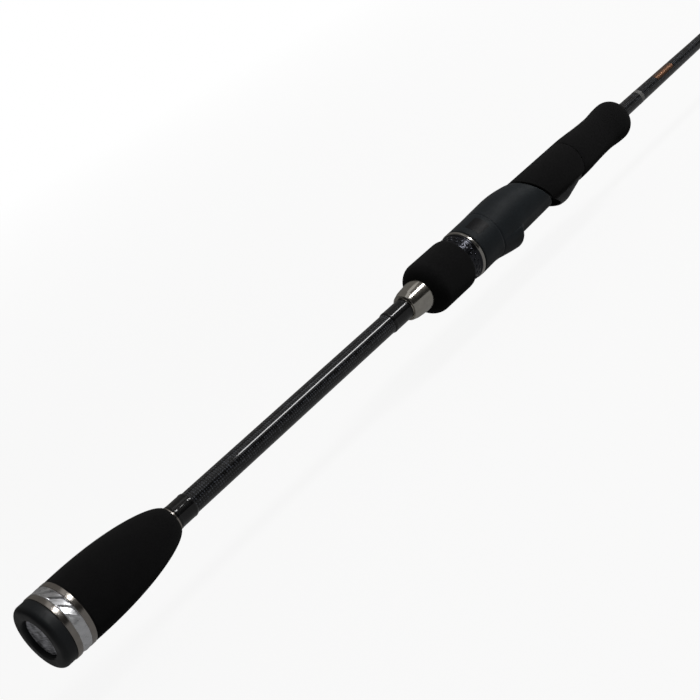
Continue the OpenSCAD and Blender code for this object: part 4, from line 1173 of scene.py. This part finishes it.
def foot_and_leg(x, side, foot_near, foot_length, foot_width, foot_z, ring_point, leg_width, offset=0.0):
    """A tapered foot that bends into a leg and runs to a point on the ring. offset is to one side,
    for one leg of a pair."""
    near = x + side * foot_near
    far = near + side * foot_length
    foot = [(far + (near - far) * i / 12, offset * i / 12, foot_z) for i in range(12)]
    bend = (near - side * 0.32 * foot_near, offset, foot_z - 0.35)
    rise = (ring_point[0] + side * 0.5 * foot_near, ring_point[1], ring_point[2] + (2.2 if offset else 0.5))
    path = foot + bezier((near, offset, foot_z), bend, rise, ring_point, 22)
    widths = [foot_width * (0.42 + 0.58 * min(1, i / 7)) for i in range(12)]
    widths += [foot_width + (leg_width - foot_width) * min(1, i / 8) for i in range(23)]
    thickness = [0.2 + 0.4 * min(1, i / 9) for i in range(12)]
    thickness += [0.6 + 0.2 * min(1, i / 6) for i in range(23)]
    return ribbon(path, widths, thickness, (0, 1, 0))


def foot_whipping(x0, x1, foot_end, side, foot_width):
    """A coated wrap over a foot: round the blank, with a hump below where the foot lies under it.
    Its corners hold the same UV as a turned piece's."""
    sides = 96
    rows = [(x, True) for x in stations(x0, x1, 40)] + [(x1, False), (x0, False)]
    points = []
    for x, outside in rows:
        past = min(1.0, max(0.0, side * (x - foot_end)) / 2.4)
        hump = 0.66 * (1 - past ** 2 * (3 - 2 * past))
        base = blank_r(x) + WRAP_GAP
        reach = math.degrees((foot_width / 2 + 0.55) / base)
        for j in range(sides):
            a = 2 * math.pi * j / sides - math.pi / 2
            away = abs((360 * j / sides + 180) % 360 - 180)
            bulge = hump * math.exp(-(away / reach) ** 4 * 0.9)
            r = base + bulge + wrap_height(x, x0, x1, WRAP - 0.02) if outside else blank_r(x)
            points.append((x, r * math.cos(a), r * math.sin(a)))
    corners = []
    for i in range(len(rows)):
        here, there = rows[i][0], rows[(i + 1) % len(rows)][0]
        for j in range(sides):
            corners += [(here, j / sides), (here, (j + 1) / sides),
                        (there, (j + 1) / sides), (there, j / sides)]
    return points, wall(len(rows), sides), corners


for n, size in enumerate(GUIDE_SIZES, 1):
    low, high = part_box(f"guide_{n}_ring")
    x, drop = (low.x + high.x) / 2 / MM, -(low.z + high.z) / 2 / MM
    body = "butt_section" if n == 1 else "tip_section"
    two_feet = size >= TWO_FEET
    width = 1.2 + 0.06 * size
    foot_length, foot_width = 7 + 0.4 * size, 1.6 + 0.04 * size
    reach = (0.6 if two_feet else 0.35) * size
    foot_z = -blank_r(x - reach - foot_length) - 0.35
    mid_band = size / 2 - GUIDE_METAL / 2
    parts = [hoop(x, drop, size / 2, size / 2 - GUIDE_METAL, width)]
    parts.append(foot_and_leg(x, 1, reach, foot_length, foot_width, foot_z, (x, 0, mid_band - drop),
                              foot_width * 0.85))
    if two_feet:
        side_y = 0.36 * size
        side_z = math.sqrt(mid_band ** 2 - side_y ** 2) - drop
        for hand in (-1, 1):
            parts.append(foot_and_leg(x, -1, reach, foot_length, foot_width, foot_z,
                                      (x, hand * side_y, side_z), 1.1, hand * 0.3))
    guide = mesh_piece(f"guide_{n}_steel", *merged(parts), steel)
    moulded(guide, [], 0.16 if size > TWO_FEET else 0.13)
    fit(guide, body, "guide_steel", f"guide_{n}_frame")
    ring = ceramic_ring(f"guide_{n}_ceramic", x, drop, size, size / 2 - GUIDE_METAL - 0.03,
                        width / 2 + 0.2, 0.75, 20, 96)
    fit(ring, body, "ceramic", f"guide_{n}_ring")

    parts, corners = [], []
    for side in ((1, -1) if two_feet else (1,)):
        foot_end = x + side * (reach + foot_length)
        ends = sorted((x + side * (reach + 0.25 * foot_length), foot_end + side * 2.5))
        *part, part_corners = foot_whipping(*ends, foot_end, side, foot_width)
        parts.append(part)
        corners += part_corners
    whipping = mesh_piece(f"guide_{n}_whipping", *merged(parts), thread, corners)
    fit(whipping, body, "coated_thread", f"guide_{n}_wrap")

# Tip-top
# A small tube glued over the blank's end, with two wire legs that carry the last ring, all of
# the same plated steel, and a black ceramic ring.

TIP_RING_SIZE = 6.4
TIP_RING_R = TIP_RING_SIZE / 2
TIP_METAL = 0.4
TIP_LEG = 0.6
TIP_STEPS = 16
tube_x = span("tip_wrap")[1] + 0.05
blank_end = span("tip_blank")[1]
low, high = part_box("tip_ring")
ring_x, ring_width = (low.x + high.x) / 2 / MM, (high.x - low.x) / MM
drop = -(low.z + high.z) / 2 / MM
tube_bore = blank_r(tube_x) + 0.05
tube_r = tube_bore + TIP_METAL
tube_outline = rounded([(tube_x, tube_bore, 0), (tube_x, tube_r, 0.15), (blank_end + 1, tube_r, 0.3),
                        (blank_end + 1, 0, 0), (blank_end + 0.1, 0, 0), (blank_end + 0.1, tube_bore, 0)], 4)
shell = turned("tip_tube_shell", tube_outline, steel, 48)
parts = [([v.co / MM for v in shell.data.vertices], [tuple(p.vertices) for p in shell.data.polygons])]
bpy.data.objects.remove(shell)
parts.append(hoop(ring_x, drop, TIP_RING_R, TIP_RING_R - TIP_METAL, ring_width))
for hand in (-1, 1):
    top = (ring_x, hand * 0.9, TIP_RING_R - 0.35 - drop)
    path = bezier((blank_end - 5, hand * 0.6, 0.15 - tube_r), (blank_end - 3, hand * 0.6, -tube_r),
                  (blank_end, hand * 0.7, top[2] + 0.6), top, TIP_STEPS)
    widths = [TIP_LEG] * (TIP_STEPS + 1)
    parts.append(ribbon(path, widths, widths, (0, 1, 0)))
tip_top = mesh_piece("tip_top_steel", *merged(parts), steel)
moulded(tip_top, [], 0.1, 2)
fit(tip_top, "tip_section", "guide_steel", "tip_tube")

tip_ring = ceramic_ring("tip_ring_ceramic", ring_x, drop, TIP_RING_SIZE, TIP_RING_R - TIP_METAL - 0.03,
                        ring_width / 2, 0.8, 16, 64)
fit(tip_ring, "tip_section", "ceramic", "tip_ring")
